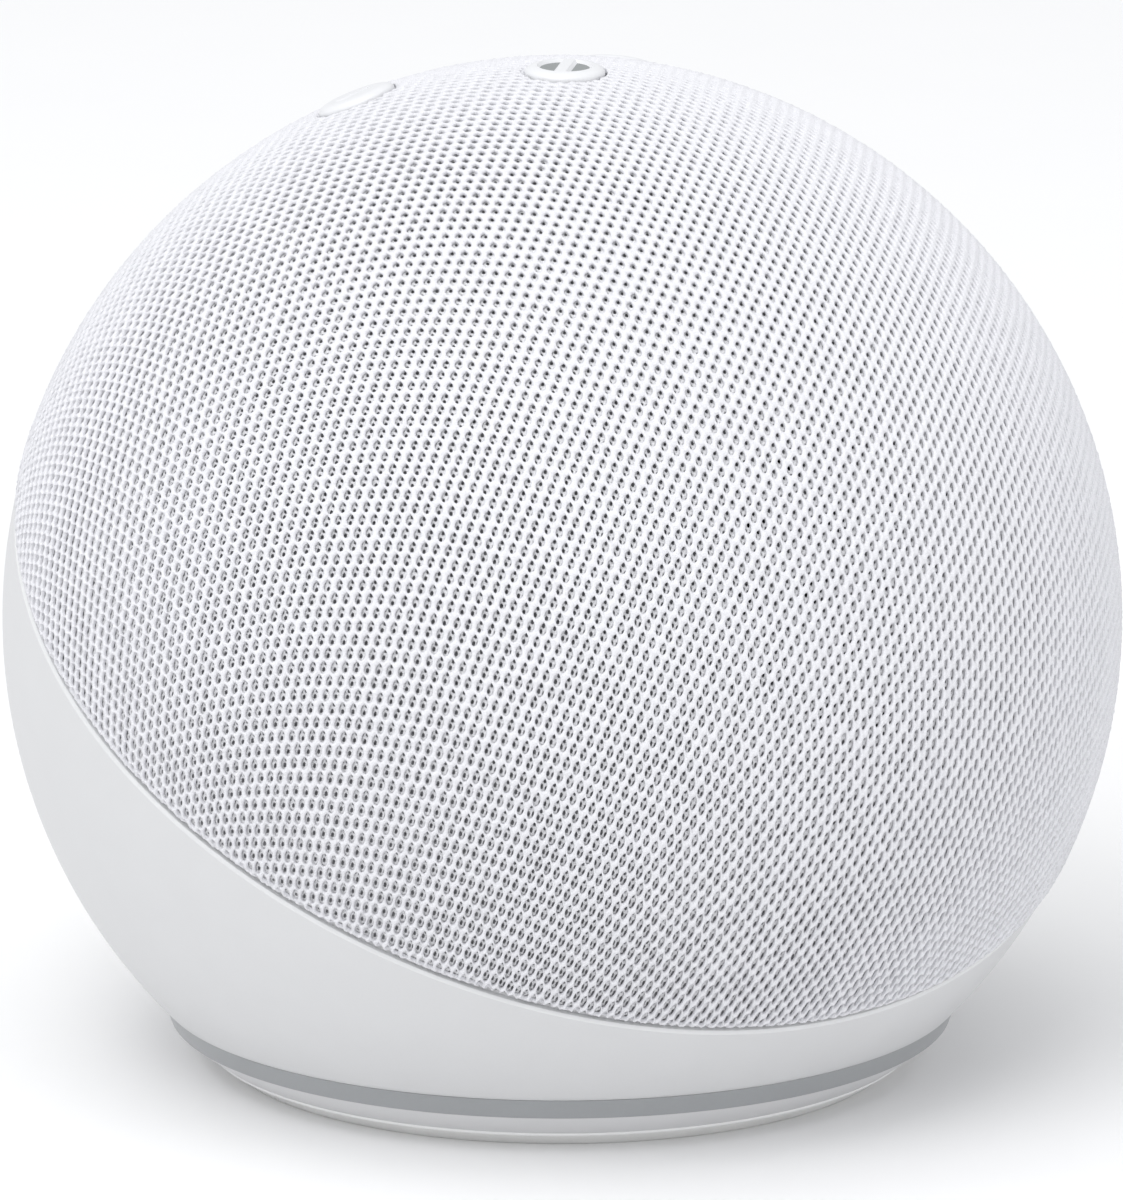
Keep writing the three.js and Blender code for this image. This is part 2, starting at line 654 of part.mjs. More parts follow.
function dustCap() {
  const middle = [0, DUST_CAP_TOP - DUST_CAP_DOME];
  const outside = arc(DUST_CAP_DOME, 0, DUST_CAP_RIM, 3, middle);
  return spin([...outside, ...arc(DUST_CAP_DOME - PAPER, DUST_CAP_RIM, 0, 3, middle)], DISC_SIDES);
}

function surround() {
  const middle = [ROLL_CIRCLE, CONE_FRONT + ROLL_RISE];
  const outside = arc(ROLL_RADIUS, -90, 90, 4, middle);
  return spin([...outside, ...arc(ROLL_RADIUS - PAPER, 90, -90, 4, middle)], DISC_SIDES);
}

function spider() {
  const wave = Array.from({ length: SPIDER_FOLDS + 1 }, (_, i) => [
    SPIDER_INNER + (BASKET_FLOOR_OUTER - SPIDER_INNER) * i / SPIDER_FOLDS,
    SPIDER_BACK + (i % 2) * SPIDER_WAVE,
  ]);
  const front = wave.map(([radius, height]) => [radius, height + SPIDER_THICKNESS]).reverse();
  return spin([...wave, ...front], DISC_SIDES);
}

function speakerEnclosure() {
  const inner = ENCLOSURE_OUTER - WALL;
  const front = BAFFLE_BACK - GAP;
  return spin([[0, ENCLOSURE_BACK], [ENCLOSURE_OUTER, ENCLOSURE_BACK], [ENCLOSURE_OUTER, front],
    [inner, front], [inner, ENCLOSURE_BACK + WALL], [0, ENCLOSURE_BACK + WALL]], DISC_SIDES);
}

// ---------------------------------------------------------------- boards and jacks at the back

function mainBoard() {
  const height = MAIN_BOARD_TOP - MAIN_BOARD_BOTTOM;
  const middle = (MAIN_BOARD_TOP + MAIN_BOARD_BOTTOM) / 2;
  const plate = uprightPlate(MAIN_BOARD_WIDTH, height, MAIN_BOARD_CORNER, MAIN_BOARD_FRONT,
    MAIN_BOARD_BACK, middle);
  const holes = [-1, 1].map((side) => rod(BOARD_SCREW_HOLE, 0, BALL_RADIUS, side * BOARD_SCREW_X,
    BOARD_SCREW_Z));
  return cut(plate, ...holes);
}

function boardScrew(side) {
  const x = side * BOARD_SCREW_X;
  const headFront = MAIN_BOARD_BACK + GAP;
  const head = rod(BOARD_SCREW_HEAD, headFront, BOARD_SCREW_HEAD_BACK, x, BOARD_SCREW_Z, SCREW_SIDES);
  const shank = rod(BOARD_SCREW_SHANK, MAIN_BOARD_FRONT - WALL, headFront + GAP, x, BOARD_SCREW_Z,
    SCREW_SIDES);
  return join(head, shank);
}

function heatSink() {
  const back = MAIN_BOARD_FRONT - GAP;
  const front = back - HEAT_SINK_PLATE;
  const half = HEAT_SINK_WIDTH / 2;
  const plate = block([-half, front, HEAT_SINK_BOTTOM], [half, back, HEAT_SINK_TOP]);
  const ribs = [-2, -1, 0, 1, 2].map((i) => {
    const x = i * HEAT_SINK_RIB_PITCH;
    return block([x - HEAT_SINK_RIB / 2, front - HEAT_SINK_RIB_RISE, HEAT_SINK_BOTTOM],
      [x + HEAT_SINK_RIB / 2, front + HEAT_SINK_PLATE / 2, HEAT_SINK_TOP]);
  });
  return join(plate, ...ribs);
}

function shieldCan() {
  const half = SHIELD_WIDTH / 2;
  const inside = half - SHIELD_SHEET;
  const front = MAIN_BOARD_BACK + GAP;
  const back = front + SHIELD_DEPTH;
  const can = block([-half, front, SHIELD_BOTTOM], [half, back, SHIELD_TOP]);
  return cut(can, block([-inside, front - 1, SHIELD_BOTTOM + SHIELD_SHEET],
    [inside, back - SHIELD_SHEET, SHIELD_TOP - SHIELD_SHEET]));
}

function processor() {
  const half = PROCESSOR_WIDTH / 2;
  const front = MAIN_BOARD_BACK + GAP;
  return block([-half, front, PROCESSOR_BOTTOM],
    [half, front + PROCESSOR_DEPTH, PROCESSOR_BOTTOM + PROCESSOR_WIDTH]);
}

// A square jack body behind one of the holes, with a blind bore for its plug.
function jack(side, width, bore, depth) {
  const x = side * PORT_SPACING / 2;
  const half = width / 2;
  const body = block([x - half, MAIN_BOARD_BACK + GAP, PORT_HEIGHT - half],
    [x + half, JACK_FRONT, PORT_HEIGHT + half]);
  return cut(body, rod(bore, JACK_FRONT - depth, BALL_RADIUS, x, PORT_HEIGHT));
}

function powerJackPin() {
  const root = JACK_FRONT - POWER_JACK_DEPTH + GAP;
  return rod(PIN_RADIUS, root, JACK_FRONT - PIN_SINK, -PORT_SPACING / 2, PORT_HEIGHT, SCREW_SIDES);
}

function antenna(side) {
  const x = side * ANTENNA_X;
  return block([x - ANTENNA_SHEET / 2, ANTENNA_FRONT, ANTENNA_BOTTOM],
    [x + ANTENNA_SHEET / 2, ANTENNA_BACK, ANTENNA_TOP]);
}

// ---------------------------------------------------------------- cables

function ribbon(route) {
  const points = route.map(([y, z]) => [0, y, z]);
  return cable(points, ribbonSection(RIBBON_WIDTH, RIBBON_THICKNESS), 2 * route.length);
}

function speakerLead(side) {
  const points = LEAD_ROUTE.map(([x, y, z], i) => [x, y, z + side * LEAD_DRIFT[i]]);
  return cable(points, wireSection(LEAD_RADIUS), 2 * points.length);
}

// ---------------------------------------------------------------- assembly

function seamAssembly() {
  seamFrame.add(piece('fabric_cover', fabricCover(), material(FABRIC_WHITE, 0.95)));
  seamFrame.add(piece('grille_shell', grilleShell(), material(BLACK_PLASTIC, 0.7)));
  return seamFrame;
}

function baseAssembly() {
  const group = new THREE.Group();
  group.add(piece('rear_housing', rearHousing(), material(HOUSING_WHITE, 0.55)));
  group.add(piece('light_ring', lightRing(), material(DIFFUSER_GREY, 0.5)));
  group.add(piece('light_guide', lightGuide(), material(CLEAR_PLASTIC, 0.15)));
  group.add(piece('light_board', lightBoard(), material(BOARD_WHITE, 0.6)));
  group.add(piece('chassis_ring', chassisRing(), material(BLACK_PLASTIC, 0.7)));
  group.add(piece('base_cover', baseCover(), material(BASE_GREY, 0.5)));
  group.add(piece('rubber_foot', rubberFoot(), material(FOOT_GREY, 0.9)));
  screwPositions((x, y, i) => {
    const screw = piece(`base_screw_${i + 1}`, baseScrew(), material(STEEL, 0.35, 1));
    screw.position.set(x, y, 0);
    group.add(screw);
  });
  return group;
}

function clusterAssembly() {
  clusterFrame.add(piece('keypad', keypad(), material(SILICONE_GREY, 0.8)));
  clusterFrame.add(piece('top_board', topBoard(), material(BOARD_GREEN, 0.5)));
  BUTTONS.forEach(({ name, bearing }, i) => {
    const holder = buttonFrame(bearing);
    holder.add(piece(name, button(), material(BUTTON_WHITE, 0.45)));
    clusterFrame.add(holder);
    const tact = piece(`button_switch_${i + 1}`, chip(...SWITCH_SIZE), material(STEEL, 0.4, 1));
    const angle = radians(bearing + CLUSTER_TURN);
    tact.position.set(SWITCH_CIRCLE * Math.cos(angle), SWITCH_CIRCLE * Math.sin(angle), SWITCH_BOTTOM);
    clusterFrame.add(tact);
  });
  microphonePositions((x, y, i) => {
    const microphone = piece(`microphone_${i + 1}`, chip(...MICROPHONE_SIZE), material(GOLD_FOIL, 0.4, 1));
    microphone.position.set(x, y, SWITCH_BOTTOM);
    clusterFrame.add(microphone);
  });
  return clusterFrame;
}

function driverAssembly() {
  const steel = [STEEL, 0.4, 1];
  const parts = [
    ['front_baffle', frontBaffle(), [BLACK_PLASTIC, 0.6]],
    ['driver_gasket', driverGasket(), [DARK_RUBBER, 0.9]],
    ['driver_basket', driverBasket(), steel],
    ['driver_top_plate', driverTopPlate(), steel],
    ['driver_magnet', driverMagnet(), [FERRITE, 0.7]],
    ['driver_yoke', driverYoke(), steel],
    ['voice_coil', voiceCoil(), [COPPER, 0.4, 1]],
    ['cone', cone(), [PAPER_BLACK, 0.9]],
    ['dust_cap', dustCap(), [PAPER_BLACK, 0.8]],
    ['surround', surround(), [DARK_RUBBER, 0.85]],
    ['spider', spider(), [CLOTH_TAN, 0.95]],
    ['speaker_enclosure', speakerEnclosure(), [BLACK_PLASTIC, 0.65]],
  ];
  parts.forEach(([name, body, look]) => driverFrame.add(piece(name, body, material(...look))));
  driverScrewPositions((x, y, i) => {
    const screw = piece(`driver_screw_${i + 1}`, driverScrew(), material(...steel));
    screw.position.set(x, y, 0);
    driverFrame.add(screw);
  });
  return driverFrame;
}

function electronicsAssembly() {
  const group = new THREE.Group();
  const powerJack = jack(-1, POWER_JACK_WIDTH, POWER_JACK_BORE, POWER_JACK_DEPTH);
  const audioJack = jack(1, AUDIO_JACK_WIDTH, AUDIO_JACK_BORE, AUDIO_JACK_DEPTH);
  group.add(piece('main_board', mainBoard(), material(BOARD_GREEN, 0.5)));
  group.add(piece('heat_sink', heatSink(), material(STEEL, 0.35, 1)));
  group.add(piece('processor', processor(), material(BLACK_PLASTIC, 0.5)));
  group.add(piece('shield_can', shieldCan(), material(STEEL, 0.3, 1)));
  group.add(piece('power_jack', powerJack, material(BLACK_PLASTIC, 0.5)));
  group.add(piece('power_jack_pin', powerJackPin(), material(STEEL, 0.25, 1)));
  group.add(piece('audio_jack', audioJack, material(BLACK_PLASTIC, 0.5)));
  [[-1, 'left', 1], [1, 'right', 2]].forEach(([side, word, number]) => {
    group.add(piece(`antenna_${word}`, antenna(side), material(GOLD_FOIL, 0.4, 1)));
    group.add(piece(`board_screw_${number}`, boardScrew(side), material(STEEL, 0.35, 1)));
  });
  return group;
}

function cableAssembly() {
  const group = new THREE.Group();
  group.add(piece('top_ribbon', ribbon(TOP_RIBBON_ROUTE), material(BOARD_WHITE, 0.6)));
  group.add(piece('lamp_ribbon', ribbon(LAMP_RIBBON_ROUTE), material(BOARD_WHITE, 0.6)));
  group.add(piece('speaker_lead_black', speakerLead(-1), material(DARK_RUBBER, 0.6)));
  group.add(piece('speaker_lead_red', speakerLead(1), material(WIRE_RED, 0.6)));
  return group;
}

const speaker = new THREE.Group();
speaker.add(seamAssembly());
speaker.add(baseAssembly());
speaker.add(clusterAssembly());
speaker.add(driverAssembly());
speaker.add(electronicsAssembly());
speaker.add(cableAssembly());

export default speaker;
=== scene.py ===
import json
import math
from functools import partial

import bmesh
import bpy
import numpy as np
from mathutils import Matrix, Vector


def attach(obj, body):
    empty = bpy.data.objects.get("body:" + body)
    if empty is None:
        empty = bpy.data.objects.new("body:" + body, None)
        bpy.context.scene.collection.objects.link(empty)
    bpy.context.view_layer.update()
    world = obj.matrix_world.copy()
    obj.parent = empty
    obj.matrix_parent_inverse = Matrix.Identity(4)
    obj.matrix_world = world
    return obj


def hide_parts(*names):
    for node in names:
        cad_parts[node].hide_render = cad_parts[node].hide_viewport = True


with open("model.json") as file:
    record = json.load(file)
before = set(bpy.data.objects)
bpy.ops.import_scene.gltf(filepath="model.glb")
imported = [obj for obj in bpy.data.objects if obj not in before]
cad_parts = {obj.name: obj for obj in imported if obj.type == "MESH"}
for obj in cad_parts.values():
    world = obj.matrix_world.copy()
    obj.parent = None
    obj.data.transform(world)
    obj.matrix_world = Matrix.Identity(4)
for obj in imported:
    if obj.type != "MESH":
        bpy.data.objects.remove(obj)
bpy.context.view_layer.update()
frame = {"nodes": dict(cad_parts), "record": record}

# The looks of a ball-shaped smart speaker. Lengths are in millimetres until a mesh is made.
# +Z is up, the speaker faces -Y, and the origin is the middle of the foot's underside.

MM = 0.001
TINY = 1e-9

# ---------------------------------------------------------------- driving dimensions

BALL_RADIUS = 50.0  # the crests of the knit
BALL_HEIGHT = 40.0  # centre of the ball above the table
SEAM_TILT = 31.2  # degrees that the seam plane's normal leans to the front
SEAM_OFFSET = -2.47  # the seam plane's distance from the centre of the ball
SEAM_GAP = 0.28  # the dark line between the cloth and the plastic

GRAIN_TILT, GRAIN_TURN = 31.8, 6.6  # the place on the ball where the knit isn't stretched
STITCHES_ACROSS = (46.7, -18.86)  # stitches along a row, for a radian of flat cloth in x and y
ROWS_ACROSS = (-36.1, -33.4)  # rows, for a radian of flat cloth in x and y
STRETCH = (1.0, -0.070, 0.008)  # flat cloth in an angle of the ball: its odd powers
HOLE_LEAN = 0.22  # stitches that a hole leans over for each row
HOLE_GROWTH = 0.17  # how much wider the stretched holes get for a radian squared of flat cloth
FACE_DEPTH = 0.42  # thickness of the knit's face layer
BACK_DEPTH = 0.46  # the back layer's crests lie this far below the face's
SEAM_ROLL = 1.0  # radius of the cloth's turned-in edges
HOLE_ROLL = 0.3
TUCK = 0.9  # cloth that goes on inwards past the turn

HOUSING_RADIUS = 49.65
HOUSING_WALL = 2.35
HOUSING_BOTTOM = 5.6
HOUSING_CHAMFER = 0.3  # on the edges of the inner side
# The lower edge: how far in from the ball, and how far up from the bottom.
HOUSING_FOOT = [(0.1, 0.0), (0.01, 0.04)]
HOUSING_FOOT_TOP = 0.35  # from here up, the outer side is a plain piece of the ball
# The bevel along the seam, painted lighter as a highlight: how far in, and how far down from the
# rim.
HOUSING_EDGE = [(0.0, 0.34), (0.02, 0.29), (0.16, 0.1), (0.22, 0.03), (0.34, 0.0)]
SEAM_TONGUE = (0.75, 0.2)  # a ledge inside the gap: how far in it starts, and how high it stands
TONGUE_SLOPE = 0.1  # how far the ledge's wall leans
LINING_TOP = (0.2, 0.5)  # how far down from the rim the inner side's first two loops lie
HOUSING_SIDES = 288
OUTER_ROWS, INNER_ROWS = 60, 24  # loops from the bottom to the seam

POCKET_FLOOR = 36.0  # of the port pocket, in +Y
POCKET_SIZE = (30.0, 10.0)
POCKET_CORNER = 3.0
POCKET_LIP = 0.35  # radius of the pocket's rounded mouth
POCKET_LIP_TURNS = (0, 22.5, 45, 67.5, 90)  # degrees
POCKET_WALL = 2.0
POCKET_BLOCK_DEPTH = 0.6  # share of the housing's wall that covers the pocket's block
PORT_HEIGHT = 17.0
PORT_SPACING = 16.0
POWER_HOLE, AUDIO_HOLE = 3.4, 2.8
PORT_HOLE_BACK = 30.0
PORT_HOLE_BEVEL = 0.25
# Each jack's side in X, and its width, its bore's radius and its bore's depth.
JACKS = [("power_jack", -1, 9.0, 2.8, 8.5), ("audio_jack", 1, 6.4, 1.85, 9.0)]
JACK_BACK, JACK_FRONT = 23.9, 33.6
JACK_CORNER = 0.5
JACK_CHAMFER = 0.3
JACK_BEVEL = 0.4  # of the bore's mouth
PIN_RADIUS = 0.85
PIN_TIP, PIN_LENGTH = 0.8, 7.4  # how far the tip lies behind the jack's front, and how long it is
PIN_TURNS = np.linspace(0, 1.57, 7)[:-1]  # radians round the pin's end
CUT_PAST = 0.05  # a bevel's tool goes this far past the surface
TOOL_END = 45.0  # tools of the ports end here, in the open
POCKET_PAST, POCKET_TOOL_END = 0.01, 55.0  # the same for the pocket's own tool

# Sections of the round pieces, as (distance from the axis, height).
RING_SECTION = [(32.8, 3.8), (35.05, 3.8), (35.74, 5.59), (32.8, 5.59)]
RING_CORNER = 0.04
FOOT_SECTION = [(20.0, 0.0), (30.0, 0.0), (31.5, 1.27), (20.0, 1.27)]
FOOT_CORNER = 0.25
BASE_UNDERSIDE = [(0.0, 1.28), (31.4, 1.28)]
BASE_RIM_AND_TOP = [(32.02, 1.56), (35.03, 3.79), (33.2, 3.79), (33.05, 3.6), (0.0, 3.6)]
BEAD_MIDDLE, BEAD_RADIUS = (31.72, 1.42), 0.19  # the bead round the base's lower edge, painted nearly white as a highlight
BEAD_ARC = (-2.2, 1.0)  # radians, from straight out towards straight up
# The bead's faces lie between these distances from the axis, and below this height.
BEAD_SPAN, BEAD_TOP = (31.5, 32.0), 1.62
BEVEL_SPAN = 0.5  # the glossier faces of the housing, painted lighter as a highlight, lie this near the ball
BEVEL_FACES = 0.2  # and face the seam at least this much

SCREW_CIRCLE = 25.5
SCREW_HEAD, SCREW_SHANK, SCREW_HOLE = 2.5, 1.2, 1.5
# Heights of the head's underside, of the seat above the head and of the shank's end.
SCREW_SINK, SCREW_POCKET, SCREW_END = 1.6, 2.9, 9.1
SCREW_GAP = 0.3  # round the head, and between it and its seat
SCREW_CORNER = 0.35
SCREW_CROSS, SCREW_CROSS_DEPTH = (2.8, 0.7), 0.6
BASE_CLEAR = 5.0  # a height above the base plate

CLUSTER_TILT = 13.4
CLUSTER_TURN = -4.0
BUTTON_SPREAD = 15.8
BUTTON_RADIUS = 3.55
BUTTON_HOLE = 3.7
BUTTON_TOP = BALL_RADIUS + 0.4
BUTTON_SHOULDER = (1.3, 0.65)  # how far in and how far down the rounded edge reaches
# The stem and the flange under the cap, as (radius, distance from the ball's centre).
BUTTON_STEM = [(0.0, 42.2), (1.5, 42.2), (1.5, 44.6), (4.4, 44.6), (4.4, 45.6)]
BUTTON_BEARINGS = {
    "mute_button": -90,
    "volume_up_button": 0,
    "action_button": 90,
    "volume_down_button": 180,
}
ICON_RADIUS = 2.2
ICON_BAR = 1.5
ICON_SLANT = 49.0  # degrees
ICON_DEPTH = 0.28
ICON_CROSS = (3.0, 0.55)  # length and width of the bars of the plus and the minus
ICON_DOT = 0.8

DRIVER_TILT = 75.0  # degrees that the driver's axis leans to the front from straight up
SPIDER_INNER, SPIDER_OUTER = 5.95, 11.6
SPIDER_BACK, SPIDER_THICKNESS = 20.7, 0.35
SPIDER_FOLD, SPIDER_WAVE = 2.26, 0.5  # from one fold to the next, and how high a fold stands
SPIDER_STEPS = 41
SPIDER_DISH = (7.08, 0.75)  # inside this radius it slopes back this steeply, as the cone does

RECTANGLE_STEPS = 8  # round each corner of the pocket and of the jacks
DOT_SIDES = 36
ARC_POINTS = 9  # along the bead, and along a button's shoulder
SIGN_POINTS = 25  # along the round side of each half of the muted-microphone sign
SHARP_ANGLE = 35.0  # degrees
CENTRE = np.array([0.0, 0.0, BALL_HEIGHT])


def leaning(towards_front, turn=0.0):
    """Columns are the x, y and z axes of a frame whose z leans from straight up by that angle."""
    tilt, yaw = math.radians(towards_front), math.radians(turn)
    across = np.array([math.cos(yaw), math.sin(yaw), 0.0])
    axis = np.array(
        [
            math.sin(tilt) * math.sin(yaw),
            -math.sin(tilt) * math.cos(yaw),
            math.cos(tilt),
        ]
    )
    return np.stack([across, np.cross(axis, across), axis], axis=1)


def button_axes(name):
    """The frame of one button: z out of the ball, and x away from the middle of the cluster."""
    bearing = math.radians(BUTTON_BEARINGS[name] + CLUSTER_TURN)
    spread = math.radians(BUTTON_SPREAD)
    turned = np.array(Matrix.Rotation(bearing, 3, "Z") @ Matrix.Rotation(spread, 3, "Y"))
    return leaning(-CLUSTER_TILT) @ turned


SEAM_AXES = leaning(SEAM_TILT)
SEAM_RIM = SEAM_OFFSET - SEAM_GAP / 2  # the housing's rim, along the seam plane's normal
ALONG_Y = np.array([[1, 0, 0], [0, 0, 1], [0, -1, 0]], float)
GRAIN_AXES = leaning(GRAIN_TILT, GRAIN_TURN)

# ---------------------------------------------------------------- meshes


def make_object(name, mesh):
    """A new object of the scene, with that mesh."""
    made = bpy.data.objects.new(name, mesh)
    bpy.context.scene.collection.objects.link(made)
    return made


def quad_mesh(name, points, quads):
    """A mesh of four-sided faces from arrays, in millimetres."""
    mesh = bpy.data.meshes.new(name)
    mesh.vertices.add(len(points))
    mesh.vertices.foreach_set("co", (points * MM).astype(np.float32).ravel())
    mesh.loops.add(quads.size)
    mesh.loops.foreach_set("vertex_index", quads.astype(np.int32).ravel())
    mesh.polygons.add(len(quads))
    mesh.polygons.foreach_set("loop_start", np.arange(0, quads.size, 4, dtype=np.int32))
    mesh.update(calc_edges=True)
    mesh.validate()
    mesh.shade_smooth()
    return make_object(name, mesh)


def sharpen(obj):
    """Keeps the edges sharp that turn further than SHARP_ANGLE."""
    obj.data.set_sharp_from_angle(angle=math.radians(SHARP_ANGLE))


def polygon_object(name, points, faces):
    """A closed mesh in millimetres, with its faces turned outwards."""
    mesh = bpy.data.meshes.new(name)
    mesh.from_pydata([tuple(float(c) * MM for c in p) for p in points], [], faces)
    work = bmesh.new()
    work.from_mesh(mesh)
    bmesh.ops.recalc_face_normals(work, faces=work.faces)
    work.to_mesh(mesh)
    work.free()
    mesh.shade_smooth()
    made = make_object(name, mesh)
    sharpen(made)
    return made


CORNER_STEPS = 4
LONGEST_CORNER = 0.45  # the share of a side that a rounded corner may take


def rounded(outline, radius):
    """A closed (across, height) outline with its corners rounded, apart from those on the axis."""
    corners = [np.array(p, float) for p in outline]
    made = []
    for i, corner in enumerate(corners):
        before, after = corners[i - 1], corners[(i + 1) % len(corners)]
        if corner[0] == 0:
            made.append(corner)
            continue
        back = (before - corner) / np.linalg.norm(before - corner)
        on = (after - corner) / np.linalg.norm(after - corner)
        half = math.acos(np.clip(back @ on, -1, 1)) / 2
        reach = min(
            radius / math.tan(half),
            np.linalg.norm(before - corner) * LONGEST_CORNER,
            np.linalg.norm(after - corner) * LONGEST_CORNER,
        )
        start, end = corner + back * reach, corner + on * reach
        for k in range(CORNER_STEPS + 1):
            t = k / CORNER_STEPS
            made.append((1 - t) ** 2 * start + 2 * t * (1 - t) * corner + t**2 * end)
    return made


def lathe(name, outline, sides, axes=None, base=(0, 0, 0)):
    """Spins a closed (across, height) outline about the z of axes, from base."""
    axes = np.eye(3) if axes is None else axes
    points, rings = [], []
    for across, height in outline:
        if abs(across) < TINY:
            rings.append([len(points)] * sides)
            points.append(np.array([0, 0, height]))
            continue
        rings.append(list(range(len(points), len(points) + sides)))
        for k in range(sides):
            angle = 2 * math.pi * k / sides
            points.append(np.array([across * math.cos(angle), across * math.sin(angle), height]))
    faces = []
    for i, ring in enumerate(rings):
        after = rings[(i + 1) % len(rings)]
        for k in range(sides):
            n = (k + 1) % sides
            face = list(dict.fromkeys([ring[k], ring[n], after[n], after[k]]))
            if len(face) > 2:
                faces.append(face)
    return polygon_object(name, np.array(points) @ axes.T + np.array(base), faces)


def band_faces(start, end, count):
    """Four-sided faces between two loops of so many points, from the indices of their first."""
    turns = [(k, (k + 1) % count) for k in range(count)]
    return [[start + k, start + n, end + n, end + k] for k, n in turns]


def loft(name, loops):
    """A closed solid through equally long loops of points, capped at both ends."""
    count, last = len(loops[0]), len(loops) - 1
    faces = [list(range(count)), list(range(last * count, (last + 1) * count))]
    for i in range(last):
        faces += band_faces(i * count, (i + 1) * count, count)
    return polygon_object(name, np.concatenate(loops), faces)


def carve(body, tool, operation="DIFFERENCE"):
    """Cuts tool from body, or joins it, and throws tool away."""
    step = body.modifiers.new("carve", "BOOLEAN")
    step.object, step.operation, step.solver = tool, operation, "EXACT"
    bpy.context.view_layer.update()
    result = body.evaluated_get(bpy.context.evaluated_depsgraph_get())
    mesh = bpy.data.meshes.new_from_object(result)
    body.modifiers.clear()
    body.data = mesh
    bpy.data.objects.remove(tool)


# ---------------------------------------------------------------- the knit

TO_FLAT = np.linalg.inv(np.array([STITCHES_ACROSS, ROWS_ACROSS])).T
FLAT_REACH = 1.6  # radians of flat cloth from its middle that can reach the cover
WIDEST_ANGLE, ANGLE_STEPS = 1.9, 500  # the table of stretched cloth goes on to this angle
HOLES_EACH_WAY = 200  # places that are tried on either side of the middle
OUTLINE_FRACTION = 12  # the points of a cell's outline lie on twelfths of a step
UNEVEN = 0.022  # scatter of the holes, in stitches
UNEVEN_HEIGHT = 0.02  # scatter of the crests, in millimetres

# Steps from a hole of the face layer to its neighbours, in stitches and rows.
FACE_ACROSS, FACE_ALONG = np.array([1.0, 0.0]), np.array([0.5, 1.0])
# Rings from the crests down into a hole: its shape, as hole_ring takes it, and its height.
FACE_RINGS = [((0.27, 0.415, 0.372), -0.17), ((0.30, 0.455, 0.402), -FACE_DEPTH)]
FACE_CREST = [0.0, -0.05]  # heights of the yarn where strands cross, and halfway between
# The back layer is a finer net, with four holes to each one of the face.
BACK_ACROSS, BACK_ALONG = np.array([0.5, 0.0]), np.array([0.25, 0.5])
BACK_SHIFT = np.array([0.08, -0.3])
BACK_RINGS = [((0.135, 0.18, 0.14), -BACK_DEPTH - 0.12)]
BACK_CREST = [-BACK_DEPTH]


def cell_outline(across, along, steps):
    """The six-sided ring halfway to a hole's neighbours, with so many points to a side."""
    corners = [(across + along) / 3, (2 * along - across) / 3, (along - 2 * across) / 3]
    corners += [-c for c in corners]
    ring = []
    for start, end in zip(corners, corners[1:] + corners[:1]):
        ring += [start + (end - start) * k / steps for k in range(steps)]
    return np.array(ring)


def hole_ring(outline, width, pointed, blunt):
    """A ring of a leaning, leaf-shaped hole, in line with the points of the cell's outline: its
    half width, and how far its pointed end and its blunt end reach."""
    ring = []
    for x, y in outline:
        if y < 0:
            bend = width * (y / pointed) ** 2
            reach = (math.sqrt(x * x + 4 * width * bend) - abs(x)) / (2 * bend)
        else:
            reach = 1 / math.hypot(x / width, y / blunt)
        ring.append((x * reach - HOLE_LEAN * y * reach, y * reach))
    return np.array(ring)


def ball_directions(places):
    """Directions from the ball's centre for places on the knit, in stitches and rows."""
    flat = places @ TO_FLAT
    reach = np.hypot(flat[:, 0], flat[:, 1])
    angles = np.linspace(0, WIDEST_ANGLE, ANGLE_STEPS)
    stretched = sum(c * angles ** (2 * i + 1) for i, c in enumerate(STRETCH))
    angle = np.interp(reach, stretched, angles)
    across = flat / np.maximum(reach, TINY)[:, None]
    local = np.c_[across * np.sin(angle)[:, None], np.cos(angle)]
    return local @ GRAIN_AXES.T


def turn_in(past, roll):
    """For cloth this far past the start of an edge: how far it goes on, how far in, and how far
    its outer side has turned."""
    turn = np.clip(past / roll, 0, math.pi / 2)
    onwards = np.where(past < 0, past, roll * np.sin(turn))
    inwards = roll * (1 - np.cos(turn)) + np.maximum(past - roll * math.pi / 2, 0)
    return onwards, inwards, turn


def settle(directions, height):
    """Puts points of the cloth on the ball and turns them in at the seam and the button holes."""
    radius = BALL_RADIUS + height
    edges = [(SEAM_AXES[:, 2], SEAM_START, SEAM_ROLL, 1)]
    edges += [(button_axes(b)[:, 2], HOLE_START, HOLE_ROLL, -1) for b in BUTTON_BEARINGS]
    moved, lift = directions.copy(), radius.copy()
    for axis, limit, roll, side in edges:
        angle = np.arccos(np.clip(directions @ axis, -1, 1))
        past = side * (angle - limit) * BALL_RADIUS
        near = past > 0
        onwards, inwards, turn = turn_in(past[near], roll)
        onwards = onwards + height[near] * np.sin(turn)
        level = BALL_RADIUS - inwards + height[near] * np.cos(turn)
        new_angle = limit + side * onwards / BALL_RADIUS
        away = directions[near] - np.outer(directions[near] @ axis, axis)
        away /= np.linalg.norm(away, axis=1)[:, None]
        moved[near] = np.outer(np.cos(new_angle), axis) + away * np.sin(new_angle)[:, None]
        lift[near] = level
    return CENTRE + moved * lift[:, None]


SEAM_START = math.acos((SEAM_OFFSET + SEAM_GAP / 2) / BALL_RADIUS) - SEAM_ROLL / BALL_RADIUS
HOLE_START = (BUTTON_HOLE + HOLE_ROLL) / BALL_RADIUS


